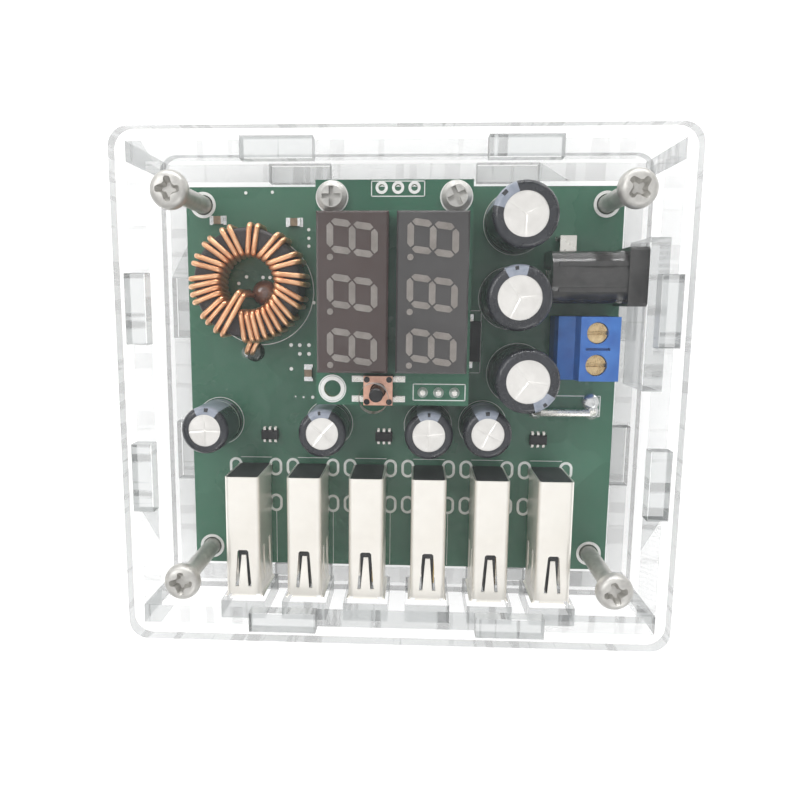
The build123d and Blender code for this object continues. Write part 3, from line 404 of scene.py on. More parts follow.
# Hexagon nuts of the same steel hold the screws under the lower plate, and
# white nylon sleeves keep the board off that plate.
nut_steel = finish("nut_steel", (0.50, 0.49, 0.46), (0.70, 0.69, 0.66), 900, (0.2, 0.38), metal=1.0,
                   relief=0.015 * mm)
white_nylon = finish("white_nylon", (0.72, 0.72, 0.69), (0.82, 0.82, 0.79), 400, (0.45, 0.6), relief=0.02 * mm)
nut_flats = 5.5 * mm
nut_low = 2.8 * mm
nut_high = 5.2 * mm
nut_bore = 1.5 * mm
nut_rim = nut_flats / 2 * 1.02
nuts = bmesh.new()
for place in screw_places:
    nut = bmesh.new()
    prism(nut, arc((0, 0), nut_flats / math.sqrt(3), 0, 300, 5), nut_low, nut_high)
    chamfer = bmesh.new()
    lathe(chamfer, [(nut_rim, nut_low - 0.1 * mm), (nut_flats, nut_low + 0.55 * mm),
                    (nut_flats, nut_low - 0.1 * mm), (nut_rim, nut_low - 0.1 * mm)], steps=36)
    nut = subtract(nut, chamfer)
    bore = bmesh.new()
    lathe(bore, [(0, nut_low - 1 * mm), (nut_bore, nut_low - 1 * mm), (nut_bore, nut_high + 1 * mm),
                 (0, nut_high + 1 * mm)], steps=32)
    gather(nuts, subtract(nut, bore), (*place, 0))
smooth(nuts, 25)
piece("hexagon_nuts", nuts, "zinc_steel", nut_steel, replaces=("case_nuts",))
dress("board_spacers", white_nylon)


# The main board is glass fibre under green mask. Tinned pads, filled vias and
# white ink lie on its top, and solder cones hold the leads below.
def board_mask(name, dark, light):
    """Green mask: wide fields of copper show through, and cut edges are pale fibre."""
    material = bpy.data.materials.new(name)
    material.use_nodes = True
    tree = material.node_tree
    skin = tree.nodes["Principled BSDF"]
    coordinates = add_node(tree, "ShaderNodeTexCoord")
    fields = add_node(tree, "ShaderNodeTexVoronoi", Scale=95.0, distance="CHEBYCHEV", feature="F1")
    fields.inputs["Randomness"].default_value = 0.75
    tree.links.new(coordinates.outputs["Object"], fields.inputs["Vector"])
    cloud = add_node(tree, "ShaderNodeTexNoise", Scale=45.0, Detail=6.0)
    tree.links.new(coordinates.outputs["Object"], cloud.inputs["Vector"])
    field_shade = add_node(tree, "ShaderNodeSeparateColor")
    tree.links.new(fields.outputs["Color"], field_shade.inputs[0])
    shade = math_node(tree, "MULTIPLY", field_shade.outputs[0], 0.45)
    shade = math_node(tree, "ADD", shade, math_node(tree, "MULTIPLY", cloud.outputs[0], 0.75))
    green = add_node(tree, "ShaderNodeMix", data_type="RGBA")
    green.inputs[6].default_value = (*dark, 1)
    green.inputs[7].default_value = (*light, 1)
    tree.links.new(shade, green.inputs[0])
    facing = add_node(tree, "ShaderNodeSeparateXYZ")
    tree.links.new(coordinates.outputs["Normal"], facing.inputs[0])
    edge = math_node(tree, "LESS_THAN", math_node(tree, "ABSOLUTE", facing.outputs["Z"], 0), 0.5)
    colour = add_node(tree, "ShaderNodeMix", data_type="RGBA")
    colour.inputs[7].default_value = (0.36, 0.44, 0.26, 1)
    tree.links.new(edge, colour.inputs[0])
    tree.links.new(green.outputs[2], colour.inputs[6])
    tree.links.new(colour.outputs[2], skin.inputs["Base Color"])
    gloss = math_node(tree, "ADD", math_node(tree, "MULTIPLY", cloud.outputs[0], 0.2), 0.18)
    gloss = math_node(tree, "ADD", gloss, math_node(tree, "MULTIPLY", edge, 0.4))
    tree.links.new(gloss, skin.inputs["Roughness"])
    weave = add_node(tree, "ShaderNodeTexNoise", Scale=1500.0)
    tree.links.new(coordinates.outputs["Object"], weave.inputs["Vector"])
    relief = add_node(tree, "ShaderNodeBump", Strength=0.25, Distance=0.02 * mm)
    tree.links.new(weave.outputs[0], relief.inputs["Height"])
    tree.links.new(relief.outputs[0], skin.inputs["Normal"])
    return material


dress("main_board", board_mask("green_mask", (0.030, 0.112, 0.066), (0.068, 0.188, 0.124)))
board_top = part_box("main_board")[1].z
board_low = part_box("main_board")[0].z
ink_height = 0.03 * mm
pad_height = 0.05 * mm


def on_board(x, y):
    """A place measured in millimetres from the middle of the board, in metres."""
    return x * mm, y * mm + board_shift


def flat_ring(bm, place, inner, outer, low, high, steps=32, stretch=0.0):
    """A thin washer, drawn out along Y by a stretch between its two halves."""
    x, y = place
    loops = []
    for radius, height in ((inner, low), (inner, high), (outer, high), (outer, low)):
        loop = []
        for i in range(steps):
            a = 2 * math.pi * (i + 0.5) / steps
            shift = math.copysign(stretch / 2, math.sin(a))
            loop.append(bm.verts.new((x + radius * math.cos(a), y + radius * math.sin(a) + shift, height)))
        loops.append(loop)
    for first, second in zip(loops, loops[1:] + loops[:1]):
        for i in range(steps):
            bm.faces.new((first[i], first[(i + 1) % steps], second[(i + 1) % steps], second[i]))


def flat_dot(bm, place, radius, low, high, steps=20):
    """A small filled dot, a little domed."""
    lathe(bm, [(0, low), (radius, low), (radius * 0.9, high), (0, high)], (*place, 0), steps)


def flat_line(bm, start, end, width, low, high):
    """A thin straight line with square ends."""
    a, b = Vector(start), Vector(end)
    along = (b - a).normalized() * width / 2
    across = Vector((-along.y, along.x))
    corners = [a - along - across, b + along - across, b + along + across, a - along + across]
    prism(bm, [(c.x, c.y) for c in corners], low, high)


def frame_lines(bm, x0, y0, x1, y1, width, low, high):
    """Four thin lines round a rectangle."""
    corners = ((x0, y0), (x1, y0), (x1, y1), (x0, y1))
    for start, end in zip(corners, corners[1:] + corners[:1]):
        flat_line(bm, start, end, width, low, high)


tin = finish("tinned_pad", (0.78, 0.78, 0.76), (0.92, 0.92, 0.90), 900, (0.28, 0.44), metal=0.6,
             relief=0.02 * mm)
socket_pitch = 10.16
socket_middles = [(i - 2.5) * socket_pitch for i in range(6)]
leg_offset = 2.7
leg_rows = (-15.25, -21.15)
vias = {
    0.28: [(-26.3, 31.7), (-21.8, 31.8), (-15.7, 25.7), (-15.7, 24.3), (-15.7, 23.0)],
    0.30: [(-26.45, 17.9), (-23.6, 17.8), (-22.4, 17.8), (-27.8, 16.8), (-14.9, 13.6), (-15.2, -2.6)],
    0.33: [(-18.9, 6.4), (-17.4, 6.4), (-15.8, 6.4), (-17.4, 4.9), (-15.8, 4.9), (-18.9, 2.3), (-15.8, 2.3)],
    0.20: [(-16.8, -2.6), (11.4, 27.8), (11.2, 22.7), (24.0, 29.0)],
    0.15: [(-18.2, -2.5), (22.6, 23.5)],
}
hole_radius = 1.65 * mm
pads = bmesh.new()
top_of_pad = board_top + pad_height
for place in screw_places:
    flat_ring(pads, place, hole_radius, 2.15 * mm, board_top, top_of_pad, 40)
    flat_ring(pads, place, hole_radius, 2.6 * mm, board_low - pad_height, board_low, 40)
for radius, places in vias.items():
    for place in places:
        flat_dot(pads, on_board(*place), radius * mm, board_top, top_of_pad)
piece("tinned_pads", pads, "solder", tin)

ink = finish("white_ink", (0.74, 0.77, 0.74), (0.88, 0.90, 0.88), 1500, (0.5, 0.7))
print_high = board_top + ink_height
line = 0.15 * mm
choke_ring = (-24.0, 15.5)
leg_pad_offset, leg_pad_rows = 3.55, (-15.0, -21.5)
large_can_places = ((18.7, 26.75), (18.2, 14.5), (19.9, 1.8))
small_can_places = ((-31.5, -6.9), (-12.3, -7.2), (4.9, -7.3), (14.3, -7.0))
shunt_frame = (23.1, -5.4, 34.2, -1.9)
rectifier_frame = (7.4, 1.9, 13.6, 12.4)
silk = bmesh.new()
flat_ring(silk, on_board(*choke_ring), 9.0 * mm, 9.15 * mm, board_top, print_high, 96)
for middle in socket_middles:
    for row in leg_pad_rows:
        for side in (-1, 1):
            flat_ring(silk, on_board(middle + side * leg_pad_offset, row), 0.70 * mm, 1.15 * mm, board_top,
                      print_high, 28, stretch=0.9 * mm)
    x0, y0 = on_board(middle - 2.6, -32.4)
    x1, y1 = on_board(middle + 3.6, -13.3)
    flat_line(silk, (x0, y1), (x1 - 0.8 * mm, y1), line * 0.7, board_top, print_high)
    flat_line(silk, (x1, y0), (x1, y1 - 9.8 * mm), line * 0.6, board_top, print_high)
for corners in (shunt_frame, rectifier_frame):
    frame_lines(silk, *on_board(*corners[:2]), *on_board(*corners[2:]), line, board_top, print_high)
for places, radius in ((large_can_places, 5.1 * mm), (small_can_places, 4.05 * mm)):
    for place in places:
        flat_ring(silk, on_board(*place), radius, radius + line * 0.8, board_top, print_high, 64)
piece("board_print", silk, "small_part", ink)

leads_below = [(x + side * leg_offset, row) for x in socket_middles for row in leg_rows for side in (-1, 1)]
leads_below += [(x, -16.25 - 1.6 * pin) for x in socket_middles for pin in range(4)]
jack_leads = [(24.4, 17.8), (26.9, 24.25), (30.2, 17.8)]
terminal_leads = [(28.55, 4.01), (28.55, 9.09)]
shunt_leads = [(23.25, -4.75), (32.9, -4.75)]
winding_leads = [(-26.49, 4.98), (-25.55, 4.9), (-25.9, 15.28), (-25.25, 14.77)]
leads_below += jack_leads + terminal_leads + shunt_leads + winding_leads
leads_below += [(3.81 + 2.54 * pin, -0.5) for pin in range(3)]
leads_below += [(x + 2.5 * side, y) for x, y in large_can_places for side in (-1, 1)]
leads_below += [(x + 1.75 * side, y) for x, y in small_can_places for side in (-1, 1)]
cone = [(0, 0), (0.95 * mm, 0), (0.8 * mm, -0.12 * mm), (0.45 * mm, -0.5 * mm), (0.36 * mm, -1.0 * mm),
        (0.2 * mm, -1.15 * mm), (0, -1.15 * mm)]
cones = bmesh.new()
for place in leads_below:
    lathe(cones, cone, (*on_board(*place), board_low), 16)
smooth(cones, 50)
solder = finish("set_solder", (0.66, 0.67, 0.67), (0.88, 0.89, 0.89), 1200, (0.16, 0.32), metal=0.85,
                relief=0.05 * mm)
piece("solder_cones", cones, "solder", solder)

# Each USB socket is a box folded from nickel plated sheet, standing on edge. Its
# sprung tongues point inward, its lips flare, and four legs are soldered in.
nickel = finish("nickel_sheet", (0.93, 0.89, 0.82), (0.99, 0.96, 0.90), 160, (0.26, 0.38), metal=0.75,
                relief=0.02 * mm, relief_grain=160)
shell_low, shell_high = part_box("usb_shell_1")
shell_width = 5.7 * mm
shell_foot = board_top + 0.15 * mm
shell_height = 13.2 * mm
shell_corner = 0.9 * mm
sheet = 0.3 * mm
shell_rear = shell_high.y
lip_length = 0.6 * mm
shell_mouth = shell_low.y + lip_length
lip_flare = 0.35 * mm
shell_middle = shell_foot + shell_height / 2


def rounded_rectangle(width, height, radius, steps=6):
    """Points round a rectangle with round corners."""
    points = []
    for quarter, (sx, sy) in enumerate(((1, 1), (-1, 1), (-1, -1), (1, -1))):
        for i in range(steps + 1):
            a = math.pi / 2 * (quarter + i / steps)
            points.append((sx * (width / 2 - radius) + radius * math.cos(a),
                           sy * (height / 2 - radius) + radius * math.sin(a)))
    return points


def box_between(bm, low, high):
    """A plain block between two corners."""
    outline = [(low[0], low[1]), (high[0], low[1]), (high[0], high[1]), (low[0], high[1])]
    prism(bm, outline, low[2], high[2])


def curved_strip(bm, stations, thickness, normal):
    """A bent strip of sheet: each station is (middle, half width vector)."""
    loops = []
    inward = Vector(normal) * thickness
    for middle, half in stations:
        corners = (middle - half, middle + half, middle + half + inward, middle - half + inward)
        loops.append([bm.verts.new(corner) for corner in corners])
    for first, second in zip(loops, loops[1:]):
        for i in range(4):
            bm.faces.new((first[i], first[(i + 1) % 4], second[(i + 1) % 4], second[i]))
    bm.faces.new(loops[0])
    bm.faces.new(loops[-1][::-1])


tongue_root = shell_mouth + 1.3 * mm
tongue_tip = shell_mouth + 7.3 * mm
slot_width = (2.7 * mm, 1.8 * mm)
tongue_width = (1.6 * mm, 0.75 * mm)
tongue_dip = 0.8 * mm
side_tongues = (0.28, 0.72)
lip_curl = math.radians(60)
seam_length = 7.4 * mm
leg_foot = board_top - 2.25 * mm
half_leg = 0.55 * mm


def socket_shell():
    """A folded shell in the middle of the board, ready to be set in its row."""
    tube = bmesh.new()
    loops = []
    outer = rounded_rectangle(shell_width, shell_height, shell_corner)
    inner = rounded_rectangle(shell_width - 2 * sheet, shell_height - 2 * sheet, shell_corner - sheet)
    for y, outline in ((shell_rear, outer), (shell_mouth, outer), (shell_mouth, inner), (shell_rear, inner)):
        loops.append([tube.verts.new((x, y, shell_middle + z)) for x, z in outline])
    count = len(loops[0])
    for first, second in zip(loops, loops[1:] + loops[:1]):
        for i in range(count):
            tube.faces.new((first[i], first[(i + 1) % count], second[(i + 1) % count], second[i]))
    cutter = bmesh.new()
    wide, narrow = slot_width[0] / 2, slot_width[1] / 2
    outline = [(-wide, tongue_root), (wide, tongue_root), (narrow, tongue_tip),
               (narrow * 0.7, tongue_tip + 0.25 * mm), (-narrow * 0.7, tongue_tip + 0.25 * mm),
               (-narrow, tongue_tip)]
    prism(cutter, outline, shell_foot + shell_height - 1 * mm, shell_foot + shell_height + 1 * mm)
    for part in side_tongues:
        for side in (-1, 1):
            window = bmesh.new()
            prism(window, outline, -1 * mm, 1 * mm)
            window.transform(Matrix.Translation((side * shell_width / 2, 0, shell_foot + part * shell_height))
                             @ Matrix.Rotation(math.radians(90 * side), 4, "Y"))
            data = bpy.data.meshes.new("window")
            window.to_mesh(data)
            window.free()
            cutter.from_mesh(data)
    box_between(cutter, (-shell_width / 2 + sheet, shell_rear - seam_length, shell_foot - 1 * mm),
                (shell_width / 2 - sheet, shell_rear + 1 * mm, shell_foot + sheet + 0.05 * mm))
    shell = subtract(tube, cutter)
    places = [(Vector((0, 0, shell_foot + shell_height)), Vector((1, 0, 0)), Vector((0, 0, -1)))]
    for part in side_tongues:
        for side in (-1, 1):
            places.append((Vector((side * shell_width / 2, 0, shell_foot + part * shell_height)),
                           Vector((0, 0, 1)), Vector((-side, 0, 0))))
    for origin, across, inward in places:
        stations = []
        for i in range(9):
            t = i / 8
            dip = tongue_dip * (1 - math.cos(t * 2.6)) / (1 - math.cos(2.6)) if i else 0
            y = tongue_root + (tongue_tip - 0.8 * mm - tongue_root) * t
            half = (tongue_width[0] + (tongue_width[1] - tongue_width[0]) * t) / 2
            stations.append((origin + Vector((0, y, 0)) + inward * dip, across * half))
        curved_strip(shell, stations, sheet * 0.85, inward)
    lips = [(Vector((0, 0, shell_foot + shell_height)), Vector((1, 0, 0)), Vector((0, 0, -1)), shell_width),
            (Vector((0, 0, shell_foot)), Vector((1, 0, 0)), Vector((0, 0, 1)), shell_width)]
    for side in (-1, 1):
        lips.append((Vector((side * shell_width / 2, 0, shell_middle)), Vector((0, 0, 1)),
                     Vector((-side, 0, 0)), shell_height))
    for origin, across, inward, width in lips:
        stations = []
        for i in range(6):
            a = lip_curl * i / 5
            y = shell_mouth - lip_length * math.sin(a) / math.sin(lip_curl)
            out = lip_flare * (1 - math.cos(a)) / (1 - math.cos(lip_curl))
            half = width / 2 - shell_corner + out * 0.8
            stations.append((origin + Vector((0, y, 0)) - inward * out, across * half))
        curved_strip(shell, stations, sheet, inward)
    for row in leg_rows:
        for side in (-1, 1):
            x = side * (shell_width - sheet) / 2
            y = row * mm + board_shift
            box_between(shell, (x - sheet / 2, y - half_leg, leg_foot),
                        (x + sheet / 2, y + half_leg, shell_foot + 1.2 * mm))
    smooth(shell, 40)
    return shell


shell_mesh = bpy.data.meshes.new("usb_shell")
folded = socket_shell()
folded.to_mesh(shell_mesh)
folded.free()
shell_mesh.materials.append(nickel)
for number, middle in enumerate(socket_middles, start=1):
    shell = bpy.data.objects.new(f"folded_shell_{number}", shell_mesh)
    shell.location.x = middle * mm
    bpy.context.scene.collection.objects.link(shell)
    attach(shell, "module")
    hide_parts(f"usb_shell_{number}")

# The dark moulding in each shell carries a tongue with four gilt contacts.
socket_black = finish("socket_moulding", (0.020, 0.020, 0.022), (0.038, 0.038, 0.042), 600, (0.4, 0.55),
                      relief=0.03 * mm)
gilt = finish("gilt_contact", (0.62, 0.42, 0.16), (0.80, 0.60, 0.28), 900, (0.15, 0.28), metal=1.0)
for number in range(1, 7):
    dress(f"usb_insulator_{number}", socket_black)
dress("usb_contacts", gilt)

# The choke: a black ring core of pressed powder lies flat, wound with two
# enamelled copper wires side by side, and a drop of brown glue holds it.
ring_middle = on_board(-25.0, 16.7)
wire = 0.8 * mm
clear = 0.03 * mm
ring_outer, ring_inner, ring_height = 17.8 * mm, 10.2 * mm, 6.4 * mm
ring_z = board_top + 0.25 * mm + wire + clear + ring_height / 2
ring_round = 0.85 * mm
core_black = finish("powder_core", (0.022, 0.017, 0.018), (0.045, 0.037, 0.038), 900, (0.35, 0.6),
                    relief=0.05 * mm, relief_grain=2500)
core = bmesh.new()
section = rounded_rectangle((ring_outer - ring_inner) / 2, ring_height, ring_round, 5)
ring_steps = 72
ring_mean = (ring_outer + ring_inner) / 4
loops = []
for i in range(ring_steps):
    a = 2 * math.pi * i / ring_steps
    loops.append([core.verts.new(((ring_mean + u) * math.cos(a) + ring_middle[0],
                                  (ring_mean + u) * math.sin(a) + ring_middle[1], ring_z + v))
                  for u, v in section])
for first, second in zip(loops, loops[1:] + loops[:1]):
    for j in range(len(section)):
        core.faces.new((first[j], first[(j + 1) % len(section)], second[(j + 1) % len(section)], second[j]))
smooth(core)
piece("ring_core", core, "ferrite", core_black, replaces=("inductor_core",))

copper = finish("enamelled_copper", (0.74, 0.34, 0.17), (0.94, 0.58, 0.34), 350, (0.24, 0.38), metal=0.85,
                coat=0.4)
pair_angles = (-89, -75, -58, -41, -20, 3, 26, 52, 82, 111, 134, 156, 180, 196, 220)
pair_spread = 8.0
inner_start = -103.9
inner_step = 11.2
inner_lean = 13.0
lead_angle = -95.0
lead_reach = 2.4 * mm
lead_exit = 1.6 * mm
lead_spacing = 0.95 * mm
return_angle = 240.0
return_lead = (-0.7 * mm, -1.6 * mm)
return_lead_across = (0.405 * mm, -0.248 * mm)
bend = 1.15 * mm


def polar(radius, degrees):
    """A place round the ring, from its middle."""
    return radius * math.cos(math.radians(degrees)), radius * math.sin(math.radians(degrees))


def strand_corners(strand):
    """The corners of one strand, from its joint round the ring and back into the hole."""
    side = 1 if strand else -1
    outside = ring_outer / 2 + wire / 2 + clear
    inside = ring_inner / 2 - wire / 2 - clear
    half = ring_height / 2 + wire / 2 + clear
    over = half + wire + clear
    low = board_low - 1.1 * mm - ring_z
    leave = board_top + lead_exit - ring_z
    reach = outside + lead_reach
    risers = [pair + side * pair_spread / 2 for pair in (*pair_angles, return_angle)]
    joint = polar(reach, lead_angle + side * math.degrees(lead_spacing / 2 / reach))
    corners = [(*joint, low), (*joint, leave), (*polar(outside, risers[0]), leave)]
    for turn, (riser, following) in enumerate(zip(risers, risers[1:])):
        inner = inner_start + (2 * turn + strand) * inner_step
        corners.append((*polar(outside, riser), half))
        corners.append((*polar(inside, inner), half))
        corners.append((*polar(inside, inner + inner_lean), -half))
        corners.append((*polar(outside, following), -half))
    end = (return_lead[0] + side * return_lead_across[0], return_lead[1] + side * return_lead_across[1])
    corners += [(*polar(outside, risers[-1]), over), (*end, over), (*end, low)]
    return [Vector(corner) for corner in corners]


def eased(corners, reach, steps=6):
    """The same route with each corner rounded."""
    route = [corners[0]]
    for before, corner, after in zip(corners, corners[1:], corners[2:]):
        r = min(reach, (before - corner).length * 0.48, (after - corner).length * 0.48)
        start = corner + (before - corner).normalized() * r
        end = corner + (after - corner).normalized() * r
        for i in range(steps + 1):
            t = i / steps
            route.append(start * (1 - t) ** 2 + corner * 2 * t * (1 - t) + end * t ** 2)
    return route + [corners[-1]]


def drawn_wire(name, route, radius, place):
    """A round wire along a route, as a curve."""
    data = bpy.data.curves.new(name, "CURVE")
    data.dimensions = "3D"
    data.bevel_depth = radius
    data.bevel_resolution = 4
    data.use_fill_caps = True
    spline = data.splines.new("POLY")
    spline.points.add(len(route) - 1)
    for point, spot in zip(spline.points, route):
        point.co = (*(spot + Vector(place)), 1)
    spline.use_smooth = True
    return data


for strand in (0, 1):
    route = eased(strand_corners(strand), bend)
    turns = drawn_wire(f"winding_{strand + 1}", route, wire * 0.54, (*ring_middle, ring_z))
    piece(f"copper_winding_{strand + 1}", turns, "copper_wire", copper,
          replaces=("inductor_winding",) if strand == 0 else ())

glue_amber = finish("brown_glue", (0.09, 0.045, 0.032), (0.30, 0.17, 0.13), 500, (0.06, 0.16), coat=1.0,
                    relief=0.08 * mm, relief_grain=500)
glue = bmesh.new()
glue_radius, glue_height = 2.2 * mm, 1.6 * mm
glue_offset = (1.7 * mm, -1.5 * mm)
outline = [(0, 0), (glue_radius, 0)]
outline += [(glue_radius * math.cos(a) ** 0.8, glue_height * math.sin(a))
            for a in [math.radians(10 * i) for i in range(1, 9)]]
outline += [(0, glue_height)]
lathe(glue, outline, (ring_middle[0] + glue_offset[0], ring_middle[1] + glue_offset[1], board_top), 40)
smooth(glue, 60)
piece("glue_bead", glue, "brown_glue", glue_amber, replaces=("inductor_glue",))

# Seven electrolytic capacitors: drawn aluminium cans with scored ends, in dark
# shrunk sleeves that carry a pale stripe on the minus side.
bare_aluminium = finish("bare_aluminium", (0.78, 0.76, 0.73), (0.90, 0.88, 0.85), 500, (0.28, 0.44), metal=0.8,
                        relief=0.01 * mm, relief_grain=3000)
navy_sleeve = finish("navy_sleeve", (0.013, 0.014, 0.019), (0.026, 0.028, 0.036), 300, (0.22, 0.34), coat=0.2)
pale_print = finish("pale_print", (0.22, 0.25, 0.31), (0.34, 0.37, 0.44), 900, (0.28, 0.4), coat=0.2)
bung_rubber = finish("bung_rubber", (0.010, 0.010, 0.010), (0.022, 0.022, 0.022), 900, (0.6, 0.75))
sleeve = 0.12 * mm
groove_height, groove_depth, groove_reach = 2.6 * mm, 0.42 * mm, 0.42 * mm
shoulder = 0.95 * mm
rim_share = 0.68
score_depth = 0.08 * mm
score_width = 0.13 * mm
end_swell = 0.06 * mm
bung_height = 1.2 * mm


def capacitor_sleeve(bm, place, diameter, height, stripe):
    """A shrunk sleeve with its groove and shoulder; its stripe is (middle, width) in degrees."""
    radius = diameter / 2
    top = height + sleeve
    outline = [(radius - 0.75 * mm, 0.42 * mm), (radius - 0.1 * mm, 0.42 * mm), (radius, 0.55 * mm)]
    outline += [(radius - groove_depth * math.exp(-(((z - groove_height) / groove_reach) ** 2)), z)
                for z in [groove_height + 0.12 * mm * i for i in range(-9, 10)]]
    outline += arc((radius - shoulder, top - shoulder), shoulder, 0, 84, 8)
    outline += [(radius * rim_share, top), (radius * rim_share - 0.04 * mm, top - 0.05 * mm),
                (radius * rim_share, top - sleeve - 0.05 * mm)]
    steps = 96
    rings = lathe(bm, outline, (*place, board_top), steps)
    stripe_middle, stripe_width = stripe
    bands = len(rings) - 1
    bm.faces.ensure_lookup_table()
    first = len(bm.faces) - bands * steps
    for j in range(bands):
        middle = (outline[j][1] + outline[j + 1][1]) / 2
        for i in range(steps):
            off = ((i + 0.5) * 360 / steps - stripe_middle + 180) % 360 - 180
            dash = abs(off) < 5 and bands - 8 < j < bands - 3
            if abs(off) < stripe_width / 2 and not dash and middle > 0.5 * mm:
                bm.faces[first + j * steps + i].material_index = 1


def capacitor_can(bm, place, diameter, height, scores):
    """The bare end of a can, scored at the given angles, and its wall inside the sleeve."""
    radius = diameter / 2 - sleeve
    rim = diameter / 2 * rim_share + 0.3 * mm
    steps, rings = 120, 30
    grid = [[bm.verts.new((*place, board_top + height))]]
    for j in range(1, rings + 1):
        ring = []
        for i in range(steps):
            a = 2 * math.pi * i / steps
            r = rim * j / rings
            x, y = r * math.cos(a), r * math.sin(a)
            dent = 0
            for score in scores:
                u = x * math.cos(math.radians(score)) + y * math.sin(math.radians(score))
                v = -x * math.sin(math.radians(score)) + y * math.cos(math.radians(score))
                gap = abs(v) if u > 0 else math.hypot(u, v)
                dent = max(dent, math.exp(-((gap / score_width) ** 2)))
            z = board_top + height - end_swell * (j / rings) ** 2 - score_depth * dent
            ring.append(bm.verts.new((place[0] + x, place[1] + y, z)))
        grid.append(ring)
    for i in range(steps):
        bm.faces.new((grid[0][0], grid[1][i], grid[1][(i + 1) % steps]))
        for j in range(1, rings):
            low, high = grid[j], grid[j + 1]
            bm.faces.new((low[i], high[i], high[(i + 1) % steps], low[(i + 1) % steps]))
    skirt = [bm.verts.new((place[0] + radius * math.cos(2 * math.pi * i / steps),
                           place[1] + radius * math.sin(2 * math.pi * i / steps),
                           board_top + height - 0.9 * mm)) for i in range(steps)]
    foot = [bm.verts.new((v.co.x, v.co.y, board_top + 0.45 * mm)) for v in skirt]
    for low, high in ((grid[-1], skirt), (skirt, foot)):
        for i in range(steps):
            bm.faces.new((low[i], high[i], high[(i + 1) % steps], low[(i + 1) % steps]))


def capacitor_bung(bm, place, diameter):
    """The rubber bung that stands on the board."""
    radius = diameter / 2 - 0.8 * mm
    outline = [(0, 0), (radius - 0.2 * mm, 0), (radius, 0.2 * mm), (radius, bung_height), (0, bung_height)]
    lathe(bm, outline, (*place, board_top), 48)


large_marks = (((136, 58), (26, 145, 268)), ((97, 44), (5, 127, 243)), ((-52, 44), (-8, 125, 232)))
small_marks = (((85, 66), (0, 95, 184, 268)), ((97, 62), (50, 140, 230, 320)), ((90, 60), (5, 92, 180, 272)),
               ((93, 60), (60, 150, 246, 335)))
for size_name, (diameter, height), places, marks in (
        ("large", (10.0 * mm, 16.0 * mm), large_can_places, large_marks),
        ("small", (7.8 * mm, 12.4 * mm), small_can_places, small_marks)):
    sleeves, cans, bungs = bmesh.new(), bmesh.new(), bmesh.new()
    for place, (stripe, scores) in zip(places, marks):
        capacitor_sleeve(sleeves, on_board(*place), diameter, height, stripe)
        capacitor_can(cans, on_board(*place), diameter, height, scores)
        capacitor_bung(bungs, on_board(*place), diameter)
    for part in (sleeves, cans, bungs):
        smooth(part, 50)
    piece(f"{size_name}_sleeves", sleeves, "dark_sleeve", navy_sleeve, pale_print,
          replaces=(f"{size_name}_capacitors",))
    piece(f"{size_name}_cans", cans, "aluminium_can", bare_aluminium)
    piece(f"{size_name}_bungs", bungs, "dark_sleeve", bung_rubber)

# The barrel jack is one black moulding with a flanged mouth. A tinned pin
# stands in its bore, and three tinned contacts go down through the board.
jack_black = finish("jack_moulding", (0.034, 0.033, 0.033), (0.052, 0.050, 0.050), 400, (0.14, 0.22), coat=0.3,
                    relief=0.01 * mm, relief_grain=1200)
tinned = finish("tinned_strip", (0.74, 0.72, 0.67), (0.92, 0.90, 0.85), 700, (0.2, 0.34), metal=0.7,
                relief=0.02 * mm)
dress("dc_jack_body", jack_black)
dress("dc_jack_pin", tinned)
dress("dc_jack_contacts", tinned)

# The screw terminal is a blue moulding with two deep wells. Steel screws with
# brassy plating lift tinned cages that pinch the wires.
blue_moulding = finish("blue_moulding", (0.030, 0.120, 0.420), (0.055, 0.200, 0.580), 350, (0.28, 0.42),
                       relief=0.03 * mm, relief_grain=900)
brassy = finish("brassy_screw", (0.42, 0.28, 0.13), (0.80, 0.62, 0.36), 900, (0.2, 0.36), metal=0.7,
                relief=0.04 * mm, relief_grain=1800)
dress("terminal_block", blue_moulding)
dress("terminal_contacts", tinned)
for pole in (1, 2):
    dress(f"terminal_screw_{pole}", brassy)
    dress(f"terminal_clamp_{pole}", tinned)

# Moulded chips, the rectifier and the regulator are matt black epoxy on tinned
# leads. Small ceramic parts have tinned ends, and a thick bare wire bridges two pads.
epoxy = finish("matt_epoxy", (0.018, 0.018, 0.020), (0.036, 0.036, 0.040), 900, (0.5, 0.7), relief=0.03 * mm,
               relief_grain=4000)
dress("charge_chips", epoxy)
dress("switching_regulator", epoxy)
dress("rectifier_diode", epoxy)
dress("chip_leads", tinned)
dress("current_shunt", tinned)
dress("solder_joints", solder)


def bead(bm, place, radius, height, steps):
    """A drop that has set on the board; radius and height are in millimetres."""
    angles = [math.radians(15 * i) for i in range(6)]
    outline = [(radius * mm * math.cos(a) ** 0.7, height * mm * math.sin(a)) for a in angles]
    lathe(bm, [(0, 0)] + outline + [(0, height * mm)], (*on_board(*place), board_top), steps)


